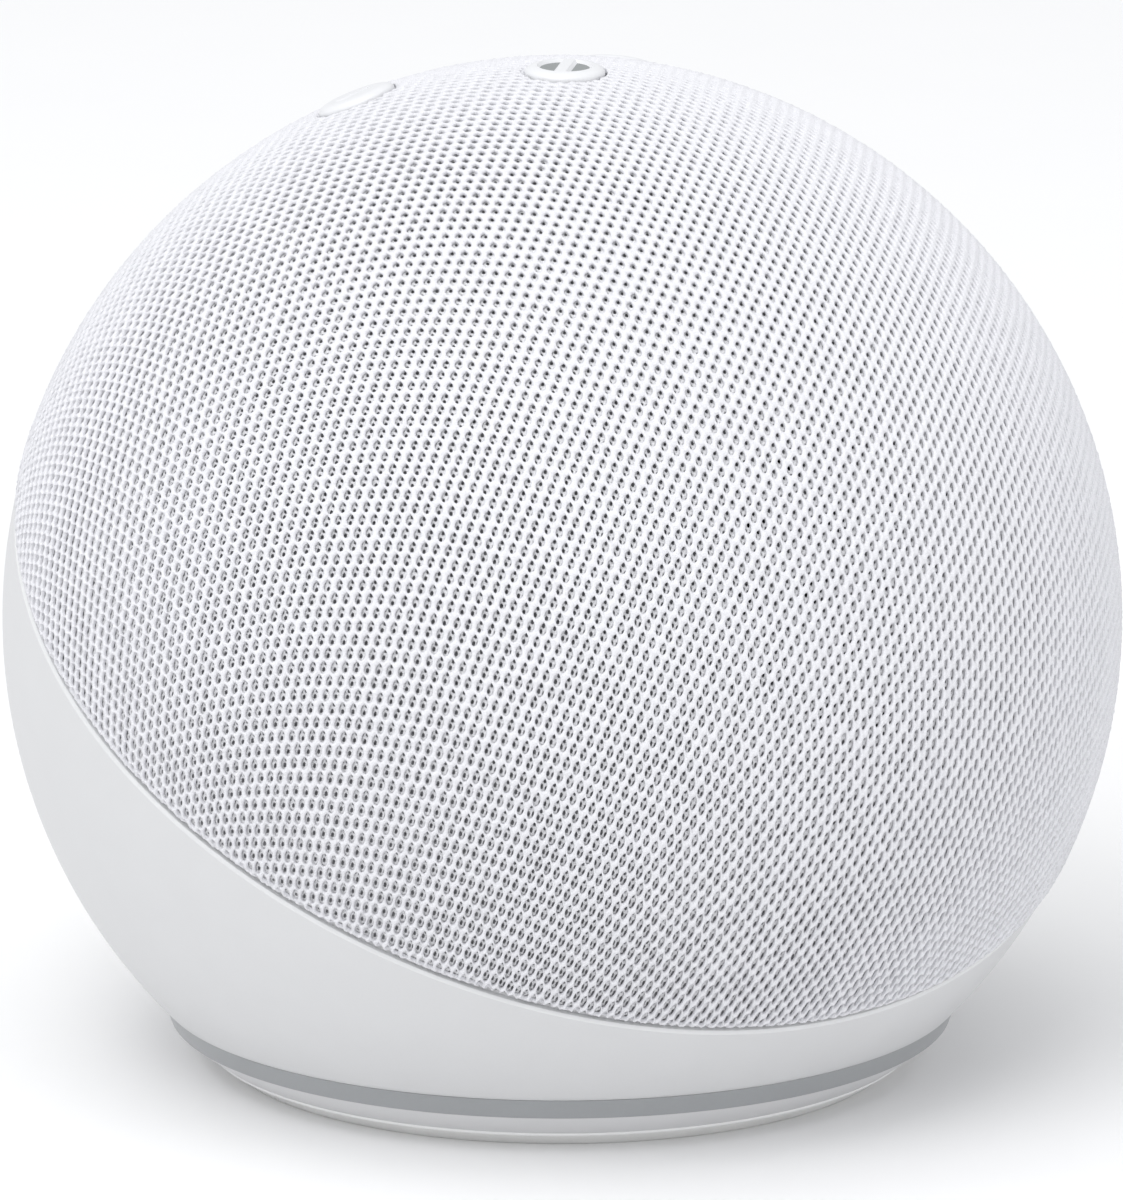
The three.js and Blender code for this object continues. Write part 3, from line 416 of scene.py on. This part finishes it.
def holes_of_net(across, along, shift):
    """The places of a net's holes that reach the cover, in stitches and rows."""
    counts = np.arange(-HOLES_EACH_WAY, HOLES_EACH_WAY + 1)
    first, second = np.meshgrid(counts, counts, indexing="ij")
    places = np.outer(first.ravel(), across) + np.outer(second.ravel(), along)
    flat = (places + shift) @ TO_FLAT
    places = places[np.hypot(flat[:, 0], flat[:, 1]) < FLAT_REACH]
    directions = ball_directions(places + shift)
    reach = SEAM_ROLL * math.pi / 2 + TUCK
    kept = (np.arccos(directions @ SEAM_AXES[:, 2]) - SEAM_START) * BALL_RADIUS < reach
    for name in BUTTON_BEARINGS:
        angle = np.arccos(directions @ button_axes(name)[:, 2])
        kept &= (HOLE_START - angle) * BALL_RADIUS < HOLE_ROLL * math.pi / 2 + TUCK
    return places[kept]


def net(name, across, along, shift, crest, rings, seed):
    """A net of yarn round leaf-shaped holes. The cells share the points of their outline, whose
    heights along each of its six sides are crest; each ring is the hole's shape and height."""
    chance = np.random.default_rng(seed)
    cells = holes_of_net(across, along, shift)
    outline = cell_outline(across, along, len(crest))
    sides = len(outline)
    shared_places = (cells[:, None, :] + outline[None]).reshape(-1, 2)
    steps = shared_places @ np.linalg.inv(np.array([across, along])) * OUTLINE_FRACTION
    keys = np.rint(steps).astype(np.int64)
    _, first, shared = np.unique(keys, axis=0, return_index=True, return_inverse=True)
    nudge = chance.normal(0, UNEVEN / 2, (len(first), 2))
    places = [shared_places[first] + nudge]
    levels = np.tile(crest, sides // len(crest) * len(cells))[first]
    heights = [levels + chance.normal(0, UNEVEN_HEIGHT, len(first))]
    index = [shared.reshape(len(cells), sides)]
    drift = chance.normal(0, UNEVEN, (len(cells), 1, 2))
    stretched = 1 + HOLE_GROWTH * ((cells @ TO_FLAT) ** 2).sum(1)
    size = (stretched + chance.normal(0, 2 * UNEVEN, len(cells)))[:, None, None]
    start = len(first)
    for shape, height in rings:
        ring = cells[:, None, :] + hole_ring(outline, *shape)[None] * size + drift
        places.append(ring.reshape(-1, 2))
        heights.append(np.full(len(cells) * sides, height))
        index.append(start + np.arange(len(cells) * sides).reshape(len(cells), sides))
        start += len(cells) * sides
    directions = ball_directions(np.concatenate(places) + shift)
    points = settle(directions, np.concatenate(heights))
    quads = []
    for outer, inner in zip(index[:-1], index[1:]):
        outer_next, inner_next = np.roll(outer, -1, axis=1), np.roll(inner, -1, axis=1)
        quads.append(np.stack([outer, inner, inner_next, outer_next], axis=2).reshape(-1, 4))
    return quad_mesh(name, points, np.concatenate(quads))


def knit():
    """The two layers of the cover."""
    face = net("fabric_face", FACE_ACROSS, FACE_ALONG, np.zeros(2), FACE_CREST, FACE_RINGS, seed=3)
    back = net("fabric_back", BACK_ACROSS, BACK_ALONG, BACK_SHIFT, BACK_CREST, BACK_RINGS, seed=5)
    return face, back


# ---------------------------------------------------------------- plastic shells


def circle_on_ball(axes, radius, height):
    """Points of the ball of that radius at that height along the z of axes, from the centre."""
    angle = np.arange(HOUSING_SIDES) * 2 * math.pi / HOUSING_SIDES
    across = math.sqrt(radius**2 - height**2)
    level = np.full(HOUSING_SIDES, height)
    return np.c_[across * np.cos(angle), across * np.sin(angle), level] @ axes.T


def between(start, end, radius, steps):
    """Loops along great circles from one loop on the ball to another, without the last."""
    a, b = start / radius, end / radius
    angle = np.arccos(np.clip((a * b).sum(1), -1, 1))[:, None]
    rows = []
    for k in range(steps):
        t = k / steps
        rows.append((a * np.sin((1 - t) * angle) + b * np.sin(t * angle)) / np.sin(angle) * radius)
    return rows


def rounded_rectangle(size, corner, grow=0.0):
    """Points of a rounded rectangle, as (x, z)."""
    half_x, half_z = size[0] / 2 - corner, size[1] / 2 - corner
    reach = corner + grow
    made = []
    for i, (side_x, side_z) in enumerate([(1, 1), (-1, 1), (-1, -1), (1, -1)]):
        for k in range(RECTANGLE_STEPS + 1):
            angle = math.pi / 2 * (i + k / RECTANGLE_STEPS)
            x = side_x * half_x + reach * math.cos(angle)
            z = side_z * half_z + reach * math.sin(angle)
            made.append((x, z))
    return np.array(made)


def pocket_loop(grow, depth=None, y=None):
    """A loop round the port pocket, at that depth under the ball's surface or at that y."""
    flat = rounded_rectangle(POCKET_SIZE, POCKET_CORNER, grow)
    x, z = flat[:, 0], flat[:, 1] + PORT_HEIGHT
    if y is None:
        y = np.sqrt((HOUSING_RADIUS - depth) ** 2 - x**2 - (z - BALL_HEIGHT) ** 2)
    return np.c_[x, np.zeros(len(x)) + y, z]


def housing():
    """The plastic shell under the seam: loops up the outside, over the rim, down the inside."""
    seam, bottom = partial(circle_on_ball, SEAM_AXES), partial(circle_on_ball, np.eye(3))
    outer, inner = HOUSING_RADIUS, HOUSING_RADIUS - HOUSING_WALL
    low, top = HOUSING_BOTTOM - BALL_HEIGHT, SEAM_RIM
    loops = [bottom(inner + HOUSING_CHAMFER, low)]
    loops += [bottom(outer - inwards, low + up) for inwards, up in HOUSING_FOOT]
    bevel_start = seam(outer, top - HOUSING_EDGE[0][1])
    loops += between(bottom(outer, low + HOUSING_FOOT_TOP), bevel_start, outer, OUTER_ROWS)
    loops += [seam(outer - inwards, top - down) for inwards, down in HOUSING_EDGE]
    tongue, ledge = outer - SEAM_TONGUE[0], top + SEAM_TONGUE[1]
    loops += [seam(tongue + TONGUE_SLOPE, top), seam(tongue, ledge)]
    loops += [seam(inner + HOUSING_CHAMFER, ledge), seam(inner, top - LINING_TOP[0])]
    inner_foot = bottom(inner, low + HOUSING_CHAMFER)
    loops += between(seam(inner, top - LINING_TOP[1]), inner_foot, inner, INNER_ROWS)
    loops.append(inner_foot)
    faces = []
    for i in range(len(loops)):
        after = (i + 1) % len(loops)
        faces += band_faces(i * HOUSING_SIDES, after * HOUSING_SIDES, HOUSING_SIDES)
    shell = polygon_object("rear_housing_shell", np.concatenate(loops) + CENTRE, faces)
    add_port_pocket(shell)
    set_ball_normals(shell)
    return shell


def bore_outline(radius, floor, mouth, bevel):
    """The section of a tool for a hole from floor to the surface at mouth, with a bevelled edge."""
    past = mouth + CUT_PAST
    outline = [(0, floor), (radius, floor), (radius, past - bevel), (radius + bevel, past)]
    return outline + [(radius + bevel, TOOL_END), (0, TOOL_END)]


def add_port_pocket(shell):
    """Sinks the pocket of the ports into the shell, with a wall behind it and two holes."""
    block = [
        pocket_loop(POCKET_WALL, y=POCKET_FLOOR - POCKET_WALL),
        pocket_loop(POCKET_WALL, depth=HOUSING_WALL * POCKET_BLOCK_DEPTH),
    ]
    carve(shell, loft("pocket_block", block), "UNION")
    loops = [pocket_loop(0, y=POCKET_FLOOR)]
    for degrees in POCKET_LIP_TURNS:
        turn = math.radians(degrees)
        lip = POCKET_LIP * (1 - math.cos(turn))
        loops.append(pocket_loop(lip, depth=POCKET_LIP * (1 - math.sin(turn)) - POCKET_PAST))
    loops.append(pocket_loop(POCKET_LIP, y=POCKET_TOOL_END))
    carve(shell, loft("pocket_tool", loops))
    for side, radius in ((-1, POWER_HOLE), (1, AUDIO_HOLE)):
        outline = bore_outline(radius, PORT_HOLE_BACK, POCKET_FLOOR, PORT_HOLE_BEVEL)
        base = (side * PORT_SPACING / 2, 0, PORT_HEIGHT)
        carve(shell, lathe("port_tool", outline, sides=48, axes=ALONG_Y, base=base))


def jack(name, side, width, bore, depth):
    """A square jack body with a chamfered front and a bore with a bevelled mouth."""
    base = (side * PORT_SPACING / 2, 0, PORT_HEIGHT)
    sections = [
        (JACK_BACK, width),
        (JACK_FRONT - JACK_CHAMFER, width),
        (JACK_FRONT, width - 2 * JACK_CHAMFER),
    ]
    loops = []
    for y, size in sections:
        flat = rounded_rectangle((size, size), JACK_CORNER)
        loops.append(np.c_[flat[:, 0], np.full(len(flat), y), flat[:, 1]] + base)
    body = loft(name + "_body", loops)
    outline = bore_outline(bore, JACK_FRONT - depth, JACK_FRONT, JACK_BEVEL)
    carve(body, lathe("bore_tool", outline, sides=64, axes=ALONG_Y, base=base))
    sharpen(body)
    return body


def power_pin():
    """The round-ended pin in the middle of the power jack."""
    end = JACK_FRONT - PIN_TIP
    outline = [(0, end - PIN_LENGTH), (PIN_RADIUS, end - PIN_LENGTH)]
    for turn in PIN_TURNS:
        outline.append((PIN_RADIUS * math.cos(turn), end - PIN_RADIUS * (1 - math.sin(turn))))
    outline.append((0, end))
    base = (-PORT_SPACING / 2, 0, PORT_HEIGHT)
    return lathe("power_pin", outline, sides=48, axes=ALONG_Y, base=base)


ON_BALL = 0.002  # how near the ball a corner of its outside lies
FACES_OUT = 0.9  # how well the outside's faces line up with the ball's own normals


def set_ball_normals(shell):
    """Exact ball normals on the outside, so that the cut faces round the pocket don't show."""
    sharpen(shell)
    mesh = shell.data
    normals = [tuple(c.vector) for c in mesh.corner_normals]
    centre = Vector(CENTRE * MM)
    for face in mesh.polygons:
        for i in face.loop_indices:
            out = mesh.vertices[mesh.loops[i].vertex_index].co - centre
            on_ball = abs(out.length / MM - HOUSING_RADIUS) < ON_BALL
            if on_ball and face.normal.dot(out.normalized()) > FACES_OUT:
                normals[i] = tuple(out.normalized())
    mesh.normals_split_custom_set(normals)


def light_ring():
    return lathe("light_ring_lens", rounded(RING_SECTION, RING_CORNER), sides=192)


def base_cover():
    """The plate that closes the bottom, with its raised rim and the recesses for the screws."""
    across, height = BEAD_MIDDLE
    bead = [
        (across + BEAD_RADIUS * math.cos(turn), height + BEAD_RADIUS * math.sin(turn))
        for turn in np.linspace(*BEAD_ARC, ARC_POINTS)
    ]
    plate = lathe("base_plate", BASE_UNDERSIDE + bead + BASE_RIM_AND_TOP, sides=192)
    recess = SCREW_HEAD + SCREW_GAP
    tool = [(0, 0), (recess, 0), (recess, SCREW_POCKET)]
    tool += [(SCREW_HOLE, SCREW_POCKET), (SCREW_HOLE, BASE_CLEAR), (0, BASE_CLEAR)]
    for x, y in screw_places():
        carve(plate, lathe("screw_tool", tool, sides=40, base=(x, y, 0)))
    sharpen(plate)
    return plate


def paint_bead_highlight(plate):
    """Gives the bead round the base's lower edge the second material, a paler colour that paints a
    highlight on it.
    """
    for face in plate.data.polygons:
        across, height = face.center.xy.length / MM, face.center.z / MM
        in_span = BEAD_SPAN[0] < across < BEAD_SPAN[1]
        face.material_index = int(in_span and height < BEAD_TOP)


def paint_rim_highlight(shell):
    """Gives the bevel along the seam the second material: glossier plastic, painted lighter as a
    highlight.
    """
    tilted = Vector(SEAM_AXES[:, 2])
    bevel_start = SEAM_RIM - HOUSING_EDGE[0][1]
    for face in shell.data.polygons:
        out = face.center / MM - Vector(CENTRE)
        near_ball = out.length > HOUSING_RADIUS - BEVEL_SPAN
        faces_seam = face.normal.dot(tilted) > BEVEL_FACES
        face.material_index = int(near_ball and faces_seam and out.dot(tilted) > bevel_start)


def screw_places():
    """Where the four screws of the base stand, as (x, y)."""
    angles = [math.radians(45 + 90 * i) for i in range(4)]
    return [(SCREW_CIRCLE * math.cos(a), SCREW_CIRCLE * math.sin(a)) for a in angles]


def base_screw(name, x, y):
    """A pan-headed screw seen from below, with a cross recess."""
    head_top = SCREW_POCKET - SCREW_GAP
    outline = [(0, SCREW_SINK), (SCREW_HEAD, SCREW_SINK), (SCREW_HEAD, head_top)]
    outline += [(SCREW_SHANK, head_top), (SCREW_SHANK, SCREW_END), (0, SCREW_END)]
    base = (x, y, 0)
    screw = lathe(name + "_smooth", rounded(outline, SCREW_CORNER), sides=48, base=base)
    recess_end = SCREW_SINK + SCREW_CROSS_DEPTH
    carve(screw, prism("recess", cross_outline(*SCREW_CROSS), 0, recess_end, np.eye(3), base))
    sharpen(screw)
    return screw


def rubber_foot():
    return lathe("foot_ring", rounded(FOOT_SECTION, FOOT_CORNER), sides=160)


def spider():
    """The driver's folded suspension, dished to leave the cone room when it moves back."""
    dish_radius, slope = SPIDER_DISH
    radii = np.linspace(SPIDER_INNER, SPIDER_OUTER, SPIDER_STEPS)
    folds = SPIDER_WAVE / 2 * (1 - np.cos((radii - dish_radius) * 2 * math.pi / SPIDER_FOLD))
    dish = slope * (radii - dish_radius)
    heights = SPIDER_BACK + np.where(radii > dish_radius, folds, dish)
    back = list(zip(radii, heights))
    front = [(radius, height + SPIDER_THICKNESS) for radius, height in reversed(back)]
    axes = leaning(DRIVER_TILT)
    return lathe("spider_weave", back + front, sides=96, axes=axes, base=CENTRE)


# ---------------------------------------------------------------- buttons


def raise_outline(outline, height, axes, base):
    """The points of an (x, y) outline at that height along the z of axes, from base."""
    return np.c_[outline, np.full(len(outline), height)] @ axes.T + base


def prism(name, outline, bottom, top, axes, base):
    """A closed prism on an (x, y) outline."""
    return loft(name, [raise_outline(outline, height, axes, base) for height in (bottom, top)])


def half_disc(side, angle, grow=0.0):
    """Half of the muted-microphone sign: the part of a disc on one side of a slanting bar."""
    radius, bar = ICON_RADIUS + grow, ICON_BAR / 2 - grow
    limit = math.acos(bar / radius)
    turns = np.linspace(-limit, limit, SIGN_POINTS)
    made = np.c_[radius * np.cos(turns), radius * np.sin(turns)] * side
    turn = np.array([[math.cos(angle), -math.sin(angle)], [math.sin(angle), math.cos(angle)]])
    return made @ turn.T


def bar_outline(length, width, grow=0.0):
    a, b = length / 2 + grow, width / 2 + grow
    return [(a, -b), (a, b), (-a, b), (-a, -b)]


def cross_outline(length, width, grow=0.0):
    a, b = length / 2 + grow, width / 2 + grow
    outline = [(a, -b), (a, b), (b, b), (b, a), (-b, a), (-b, b)]
    return outline + [(-x, -y) for x, y in outline]


def round_outline(radius, grow=0.0):
    turns = np.arange(DOT_SIDES) * 2 * math.pi / DOT_SIDES
    return (radius + grow) * np.c_[np.cos(turns), np.sin(turns)]


def sign_tool(outline, axes):
    """The tool of a sign whose walls slope, so that its mouth is wider than its floor."""
    floor, mouth = outline(), outline(grow=ICON_DEPTH)
    levels = [
        (floor, BUTTON_TOP - ICON_DEPTH),
        (mouth, BUTTON_TOP),
        (mouth, BUTTON_TOP + 1),
    ]
    return loft("sign", [raise_outline(flat, height, axes, CENTRE) for flat, height in levels])


def button(name, signs):
    """A button with a flat crown and a rounded shoulder, into which its signs are cut."""
    axes = button_axes(name)
    reach, drop = BUTTON_SHOULDER
    outline = BUTTON_STEM + [(BUTTON_RADIUS, BUTTON_STEM[-1][1])]
    for turn in np.linspace(math.pi / 2, 0, ARC_POINTS):
        across = BUTTON_RADIUS - reach * (1 - math.sin(turn))
        outline.append((across, BUTTON_TOP - drop * (1 - math.cos(turn))))
    outline.append((0, BUTTON_TOP))
    cap = lathe(name + "_cap", outline, sides=96, axes=axes, base=CENTRE)
    for sign in signs:
        carve(cap, sign_tool(sign, axes))
    sharpen(cap)
    return cap, axes


FLOOR_SPAN = 0.02  # how near a sign's floor its faces lie
FLOOR_FACES = 0.99  # and how squarely they face out


def paint_signs(cap, axes):
    """Gives the floors of the cut signs the second material."""
    out = Vector(axes[:, 2])
    for face in cap.data.polygons:
        height = (face.center - Vector(CENTRE * MM)).dot(out) / MM
        on_floor = abs(height - (BUTTON_TOP - ICON_DEPTH)) < FLOOR_SPAN
        face.material_index = int(on_floor and face.normal.dot(out) > FLOOR_FACES)


# ---------------------------------------------------------------- materials

PATCH_SIZE = 25  # how much broader the patches are than the grain
TONES = (0.35, 0.65)  # the noise at which a surface has its darkest and its lightest colour


def new_material(name):
    made = bpy.data.materials.new(name)
    made.use_nodes = True
    nodes = made.node_tree.nodes
    return made, nodes, made.node_tree.links, nodes["Principled BSDF"]


def add(nodes, kind, **values):
    """A new node, with values for its inputs and its settings."""
    node = nodes.new(kind)
    for key, value in values.items():
        if key in node.inputs:
            node.inputs[key].default_value = value
        else:
            setattr(node, key, value)
    return node


def noisy(name, colour, variation=0.06, scale=2500.0, roughness=0.5, spread=0.08, bump=0.15,
          depth=0.00004, patches=1.0, **settings):
    """A surface with a fine grain: its colour, its roughness and its height vary together.
    Patches is how much broader patches count, against the grain."""
    made, nodes, links, shader = new_material(name)
    place = nodes.new("ShaderNodeTexCoord")
    grain = add(nodes, "ShaderNodeTexNoise", Scale=scale, Detail=4.0, Roughness=0.6)
    links.new(place.outputs["Object"], grain.inputs["Vector"])
    broad = add(nodes, "ShaderNodeTexNoise", Scale=scale / PATCH_SIZE, Detail=2.0)
    links.new(place.outputs["Object"], broad.inputs["Vector"])
    mixed = add(nodes, "ShaderNodeMath", operation="MULTIPLY_ADD")
    links.new(broad.outputs["Fac"], mixed.inputs[0])
    mixed.inputs[1].default_value = patches
    links.new(grain.outputs["Fac"], mixed.inputs[2])
    ramp = nodes.new("ShaderNodeValToRGB")
    for stop, position, side in zip(ramp.color_ramp.elements, TONES, (-1, 1)):
        stop.position = position
        stop.color = tuple(min(1.0, c * (1 + side * variation)) for c in colour) + (1.0,)
    half = add(nodes, "ShaderNodeMath", operation="MULTIPLY")
    half.inputs[1].default_value = 1 / (1 + patches)
    links.new(mixed.outputs[0], half.inputs[0])
    links.new(half.outputs[0], ramp.inputs["Fac"])
    links.new(ramp.outputs["Color"], shader.inputs["Base Color"])
    rough = add(nodes, "ShaderNodeMapRange")
    rough.inputs["To Min"].default_value = roughness - spread
    rough.inputs["To Max"].default_value = min(1.0, roughness + spread)
    links.new(half.outputs[0], rough.inputs["Value"])
    links.new(rough.outputs["Result"], shader.inputs["Roughness"])
    raised = add(nodes, "ShaderNodeBump", Strength=bump, Distance=depth)
    links.new(grain.outputs["Fac"], raised.inputs["Height"])
    links.new(raised.outputs["Normal"], shader.inputs["Normal"])
    for key, value in settings.items():
        shader.inputs[key.replace("_", " ")].default_value = value
    return made


def wear(obj, *materials):
    """Gives obj these materials and no others."""
    obj.data.materials.clear()
    for material in materials:
        obj.data.materials.append(material)


# ---------------------------------------------------------------- the object

# What noisy() takes for each surface.
SURFACES = {
    "face_yarn": dict(
        colour=(0.77, 0.77, 0.80), variation=0.1, scale=9000.0, roughness=0.85, spread=0.06,
        bump=0.5, depth=0.00006, patches=0.1,
    ),
    "back_yarn": dict(
        colour=(0.79, 0.79, 0.815), variation=0.25, scale=9000.0, roughness=0.85, spread=0.06,
        bump=0.5, depth=0.00006, patches=0.1,
    ),
    "housing_plastic": dict(
        colour=(0.632, 0.635, 0.642), variation=0.012, scale=5000.0, roughness=0.42, spread=0.04,
        bump=0.12, depth=0.00003,
    ),
    # the bevel along the seam: glossier than the housing, and painted lighter as a highlight
    "housing_gloss_painted_highlight": dict(
        colour=(0.73, 0.735, 0.74), variation=0.012, scale=5000.0, roughness=0.25, spread=0.04,
        bump=0.1, depth=0.00003,
    ),
    "ring_lens": dict(
        colour=(0.31, 0.32, 0.33), variation=0.02, scale=3000.0, roughness=0.3, spread=0.04,
        bump=0.08,
    ),
    "base_plastic": dict(
        colour=(0.68, 0.68, 0.69), variation=0.015, scale=5000.0, roughness=0.45, spread=0.04,
        bump=0.1,
    ),
    # the bead round the base's lower edge: painted nearly white as a highlight
    "bead_painted_highlight": dict(
        colour=(0.9, 0.9, 0.9), variation=0.015, scale=5000.0, roughness=0.35, spread=0.04,
        bump=0.1,
    ),
    "foot_rubber_skin": dict(
        colour=(0.84, 0.84, 0.83), variation=0.03, scale=4000.0, roughness=0.75, spread=0.06,
        bump=0.2,
    ),
    "jack_plastic": dict(
        colour=(0.02, 0.02, 0.021), variation=0.2, scale=4000.0, roughness=0.4, bump=0.15,
    ),
    "pin_metal": dict(
        colour=(0.72, 0.72, 0.7), variation=0.05, scale=4000.0, roughness=0.25, bump=0.05,
        Metallic=1.0,
    ),
    "screw_steel": dict(
        colour=(0.6, 0.61, 0.62), variation=0.05, scale=4000.0, roughness=0.35, bump=0.1,
        Metallic=1.0,
    ),
    "spider_cloth": dict(
        colour=(0.5, 0.36, 0.15), variation=0.1, scale=4000.0, roughness=0.9, spread=0.05,
        bump=0.4,
    ),
    "button_plastic": dict(
        colour=(0.76, 0.765, 0.78), variation=0.012, scale=5000.0, roughness=0.38, spread=0.04,
        bump=0.1, depth=0.00002,
    ),
    "sign_grey": dict(
        colour=(0.27, 0.285, 0.285), variation=0.03, scale=4000.0, roughness=0.6, spread=0.05,
        bump=0.1, depth=0.00002,
    ),
    "floor_paper": dict(
        colour=(0.92, 0.92, 0.92), variation=0.004, scale=40.0, roughness=0.8, spread=0.02,
        bump=0.0,
    ),
}


def surface(name):
    """A new material from that row of SURFACES."""
    return noisy(name, **SURFACES[name])


def build_cover():
    """The knitted cover: both of its layers, and the sheet of cloth that they are."""
    face, back = knit()
    wear(face, surface("face_yarn"))
    wear(back, surface("back_yarn"))
    for layer in (face, back):
        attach(layer, "speaker_body")
    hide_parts("fabric_cover")


def place(obj, node, slot, *materials):
    """Puts a piece in the place of a CAD node of the speaker's body."""
    wear(obj, *materials)
    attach(obj, "speaker_body")
    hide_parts(node)


def build_shells():
    """The housing, the light ring, the base and the foot."""
    shell = housing()
    # the second material paints a highlight on the bevel along the seam
    plastic, painted_rim_highlight = surface("housing_plastic"), surface("housing_gloss_painted_highlight")
    place(shell, "rear_housing", "housing_white", plastic, painted_rim_highlight)
    paint_rim_highlight(shell)
    place(light_ring(), "light_ring", "diffuser", surface("ring_lens"))
    # the base's second material paints a highlight on the bead round its lower edge
    plate = base_cover()
    place(plate, "base_cover", "base_grey", surface("base_plastic"), surface("bead_painted_highlight"))
    paint_bead_highlight(plate)
    place(rubber_foot(), "rubber_foot", "foot_rubber", surface("foot_rubber_skin"))


def build_small_pieces():
    """The jacks, the pin, the driver's spider and the screws of the base."""
    black, steel = surface("jack_plastic"), surface("screw_steel")
    for name, side, width, bore, depth in JACKS:
        place(jack(name, side, width, bore, depth), name, "jack_black", black)
    place(power_pin(), "power_jack_pin", "steel", surface("pin_metal"))
    place(spider(), "spider", "spider_cloth", surface("spider_cloth"))
    for i, (x, y) in enumerate(screw_places()):
        name = f"base_screw_{i + 1}"
        place(base_screw(name, x, y), name, "steel", steel)


def build_buttons():
    """The four buttons, each with its sign cut in."""
    white, grey = surface("button_plastic"), surface("sign_grey")
    slant = math.radians(ICON_SLANT)
    signs = {
        "mute_button": [partial(half_disc, 1, slant), partial(half_disc, -1, slant)],
        "volume_up_button": [partial(cross_outline, *ICON_CROSS)],
        "action_button": [partial(round_outline, ICON_DOT)],
        "volume_down_button": [partial(bar_outline, *ICON_CROSS)],
    }
    for name, cuts in signs.items():
        cap, axes = button(name, cuts)
        wear(cap, white, grey)
        paint_signs(cap, axes)
        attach(cap, name + "_body")
        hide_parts(name)


build_cover()
build_shells()
build_small_pieces()
build_buttons()

# ---------------------------------------------------------------- materials of the CAD nodes

FINISHES = {
    "dark_shell": dict(colour=(0.08, 0.08, 0.085), roughness=0.6),
    "clear_guide": dict(colour=(0.78, 0.8, 0.82), roughness=0.15),
    "board_white": dict(colour=(0.8, 0.8, 0.76), roughness=0.55),
    "silicone": dict(colour=(0.33, 0.34, 0.36), roughness=0.7),
    "circuit_board": dict(colour=(0.02, 0.12, 0.06), roughness=0.4),
    "steel": dict(colour=(0.6, 0.61, 0.62), roughness=0.35, Metallic=1.0),
    "gold_contact": dict(colour=(0.8, 0.62, 0.3), roughness=0.35, Metallic=1.0),
    "heat_sink_metal": dict(colour=(0.7, 0.71, 0.72), roughness=0.4, Metallic=1.0),
    "black_rubber": dict(colour=(0.02, 0.02, 0.02), roughness=0.7),
    "red_rubber": dict(colour=(0.45, 0.03, 0.02), roughness=0.6),
    "ferrite": dict(colour=(0.05, 0.05, 0.05), roughness=0.65),
    "copper": dict(colour=(0.72, 0.38, 0.2), roughness=0.35, Metallic=1.0),
    "cone_paper": dict(colour=(0.03, 0.03, 0.03), roughness=0.85),
    "jack_black": dict(colour=(0.02, 0.02, 0.02), roughness=0.45),
}
GRILLE_GREY = (0.4, 0.4, 0.42)  # the grille shell under the knit, paler than the other dark shells


def finish_cad_nodes():
    """Gives every CAD node that still shows the surface of its material slot."""
    slots = {p["node"]: p["material_slot"] for p in frame["record"]["subparts"]}
    made = {name: noisy("cad_" + name, **look) for name, look in FINISHES.items()}
    for name, node in frame["nodes"].items():
        if not node.hide_render:
            wear(node, made[slots[name]])
    wear(frame["nodes"]["grille_shell"], noisy("grille_plastic", GRILLE_GREY))


finish_cad_nodes()

# ---------------------------------------------------------------- the stage

FLOOR_REACH = 4000.0
# Each light's direction from the ball's centre, distance and size in metres, and power in watts.
LIGHTS = {
    "key": dict(direction=(-1.05, -0.5, 1.0), distance=1.6, size=1.2, power=7.5),
    "fill": dict(direction=(0.85, -1.2, 0.25), distance=1.8, size=0.8, power=3.5),
    "top": dict(direction=(-0.5, -0.1, 1.6), distance=1.6, size=1.6, power=10),
}
SKY_COLOUR, SKY_STRENGTH = (0.97, 0.98, 1.0, 1.0), 0.75


def floor():
    sides = [(-1, -1, 0), (1, -1, 0), (1, 1, 0), (-1, 1, 0)]
    plane = quad_mesh("floor", np.array(sides) * FLOOR_REACH, np.array([[0, 1, 2, 3]]))
    wear(plane, surface("floor_paper"))


def area_light(name, direction, distance, size, power):
    light = bpy.data.lights.new(name, "AREA")
    light.shape, light.size, light.energy = "DISK", size, power
    lamp = bpy.data.objects.new(name, light)
    bpy.context.scene.collection.objects.link(lamp)
    away = Vector(direction).normalized()
    lamp.location = Vector(CENTRE * MM) + away * distance
    lamp.rotation_euler = away.to_track_quat("Z", "Y").to_euler()


def lights():
    """Three soft lights in a pale room."""
    for name, settings in LIGHTS.items():
        area_light(name, **settings)
    world = bpy.data.worlds.new("studio")
    world.use_nodes = True
    background = world.node_tree.nodes["Background"]
    background.inputs["Color"].default_value = SKY_COLOUR
    background.inputs["Strength"].default_value = SKY_STRENGTH
    bpy.context.scene.world = world


VIEW_AZIMUTH, VIEW_ELEVATION = -35.0, 13.7  # degrees
VIEW_DISTANCE = 900.0
AIM_RIGHT, AIM_UP = 0.107, 1.468  # the camera aims this far from the ball's centre
SENSOR_WIDTH, FOCAL_LENGTH = 36.0, 303.0
CLIP_START, CLIP_END = 0.05, 20.0  # metres


def camera():
    """The photograph's own view."""
    azimuth, elevation = math.radians(VIEW_AZIMUTH), math.radians(VIEW_ELEVATION)
    back = Vector(
        (
            math.sin(azimuth) * math.cos(elevation),
            -math.cos(azimuth) * math.cos(elevation),
            math.sin(elevation),
        )
    )
    right = Vector((math.cos(azimuth), math.sin(azimuth), 0.0))
    up = back.cross(right)
    lens = bpy.data.cameras.new("camera")
    lens.sensor_width, lens.lens = SENSOR_WIDTH, FOCAL_LENGTH
    lens.clip_start, lens.clip_end = CLIP_START, CLIP_END
    eye = bpy.data.objects.new("camera", lens)
    bpy.context.scene.collection.objects.link(eye)
    centre = Vector(CENTRE * MM)
    aim = centre + (right * AIM_RIGHT + up * AIM_UP) * MM
    eye.location = centre + back * VIEW_DISTANCE * MM
    eye.rotation_euler = (eye.location - aim).to_track_quat("Z", "Y").to_euler()
    bpy.context.scene.camera = eye


floor()
lights()
camera()
bpy.context.scene.view_settings.view_transform = "Standard"
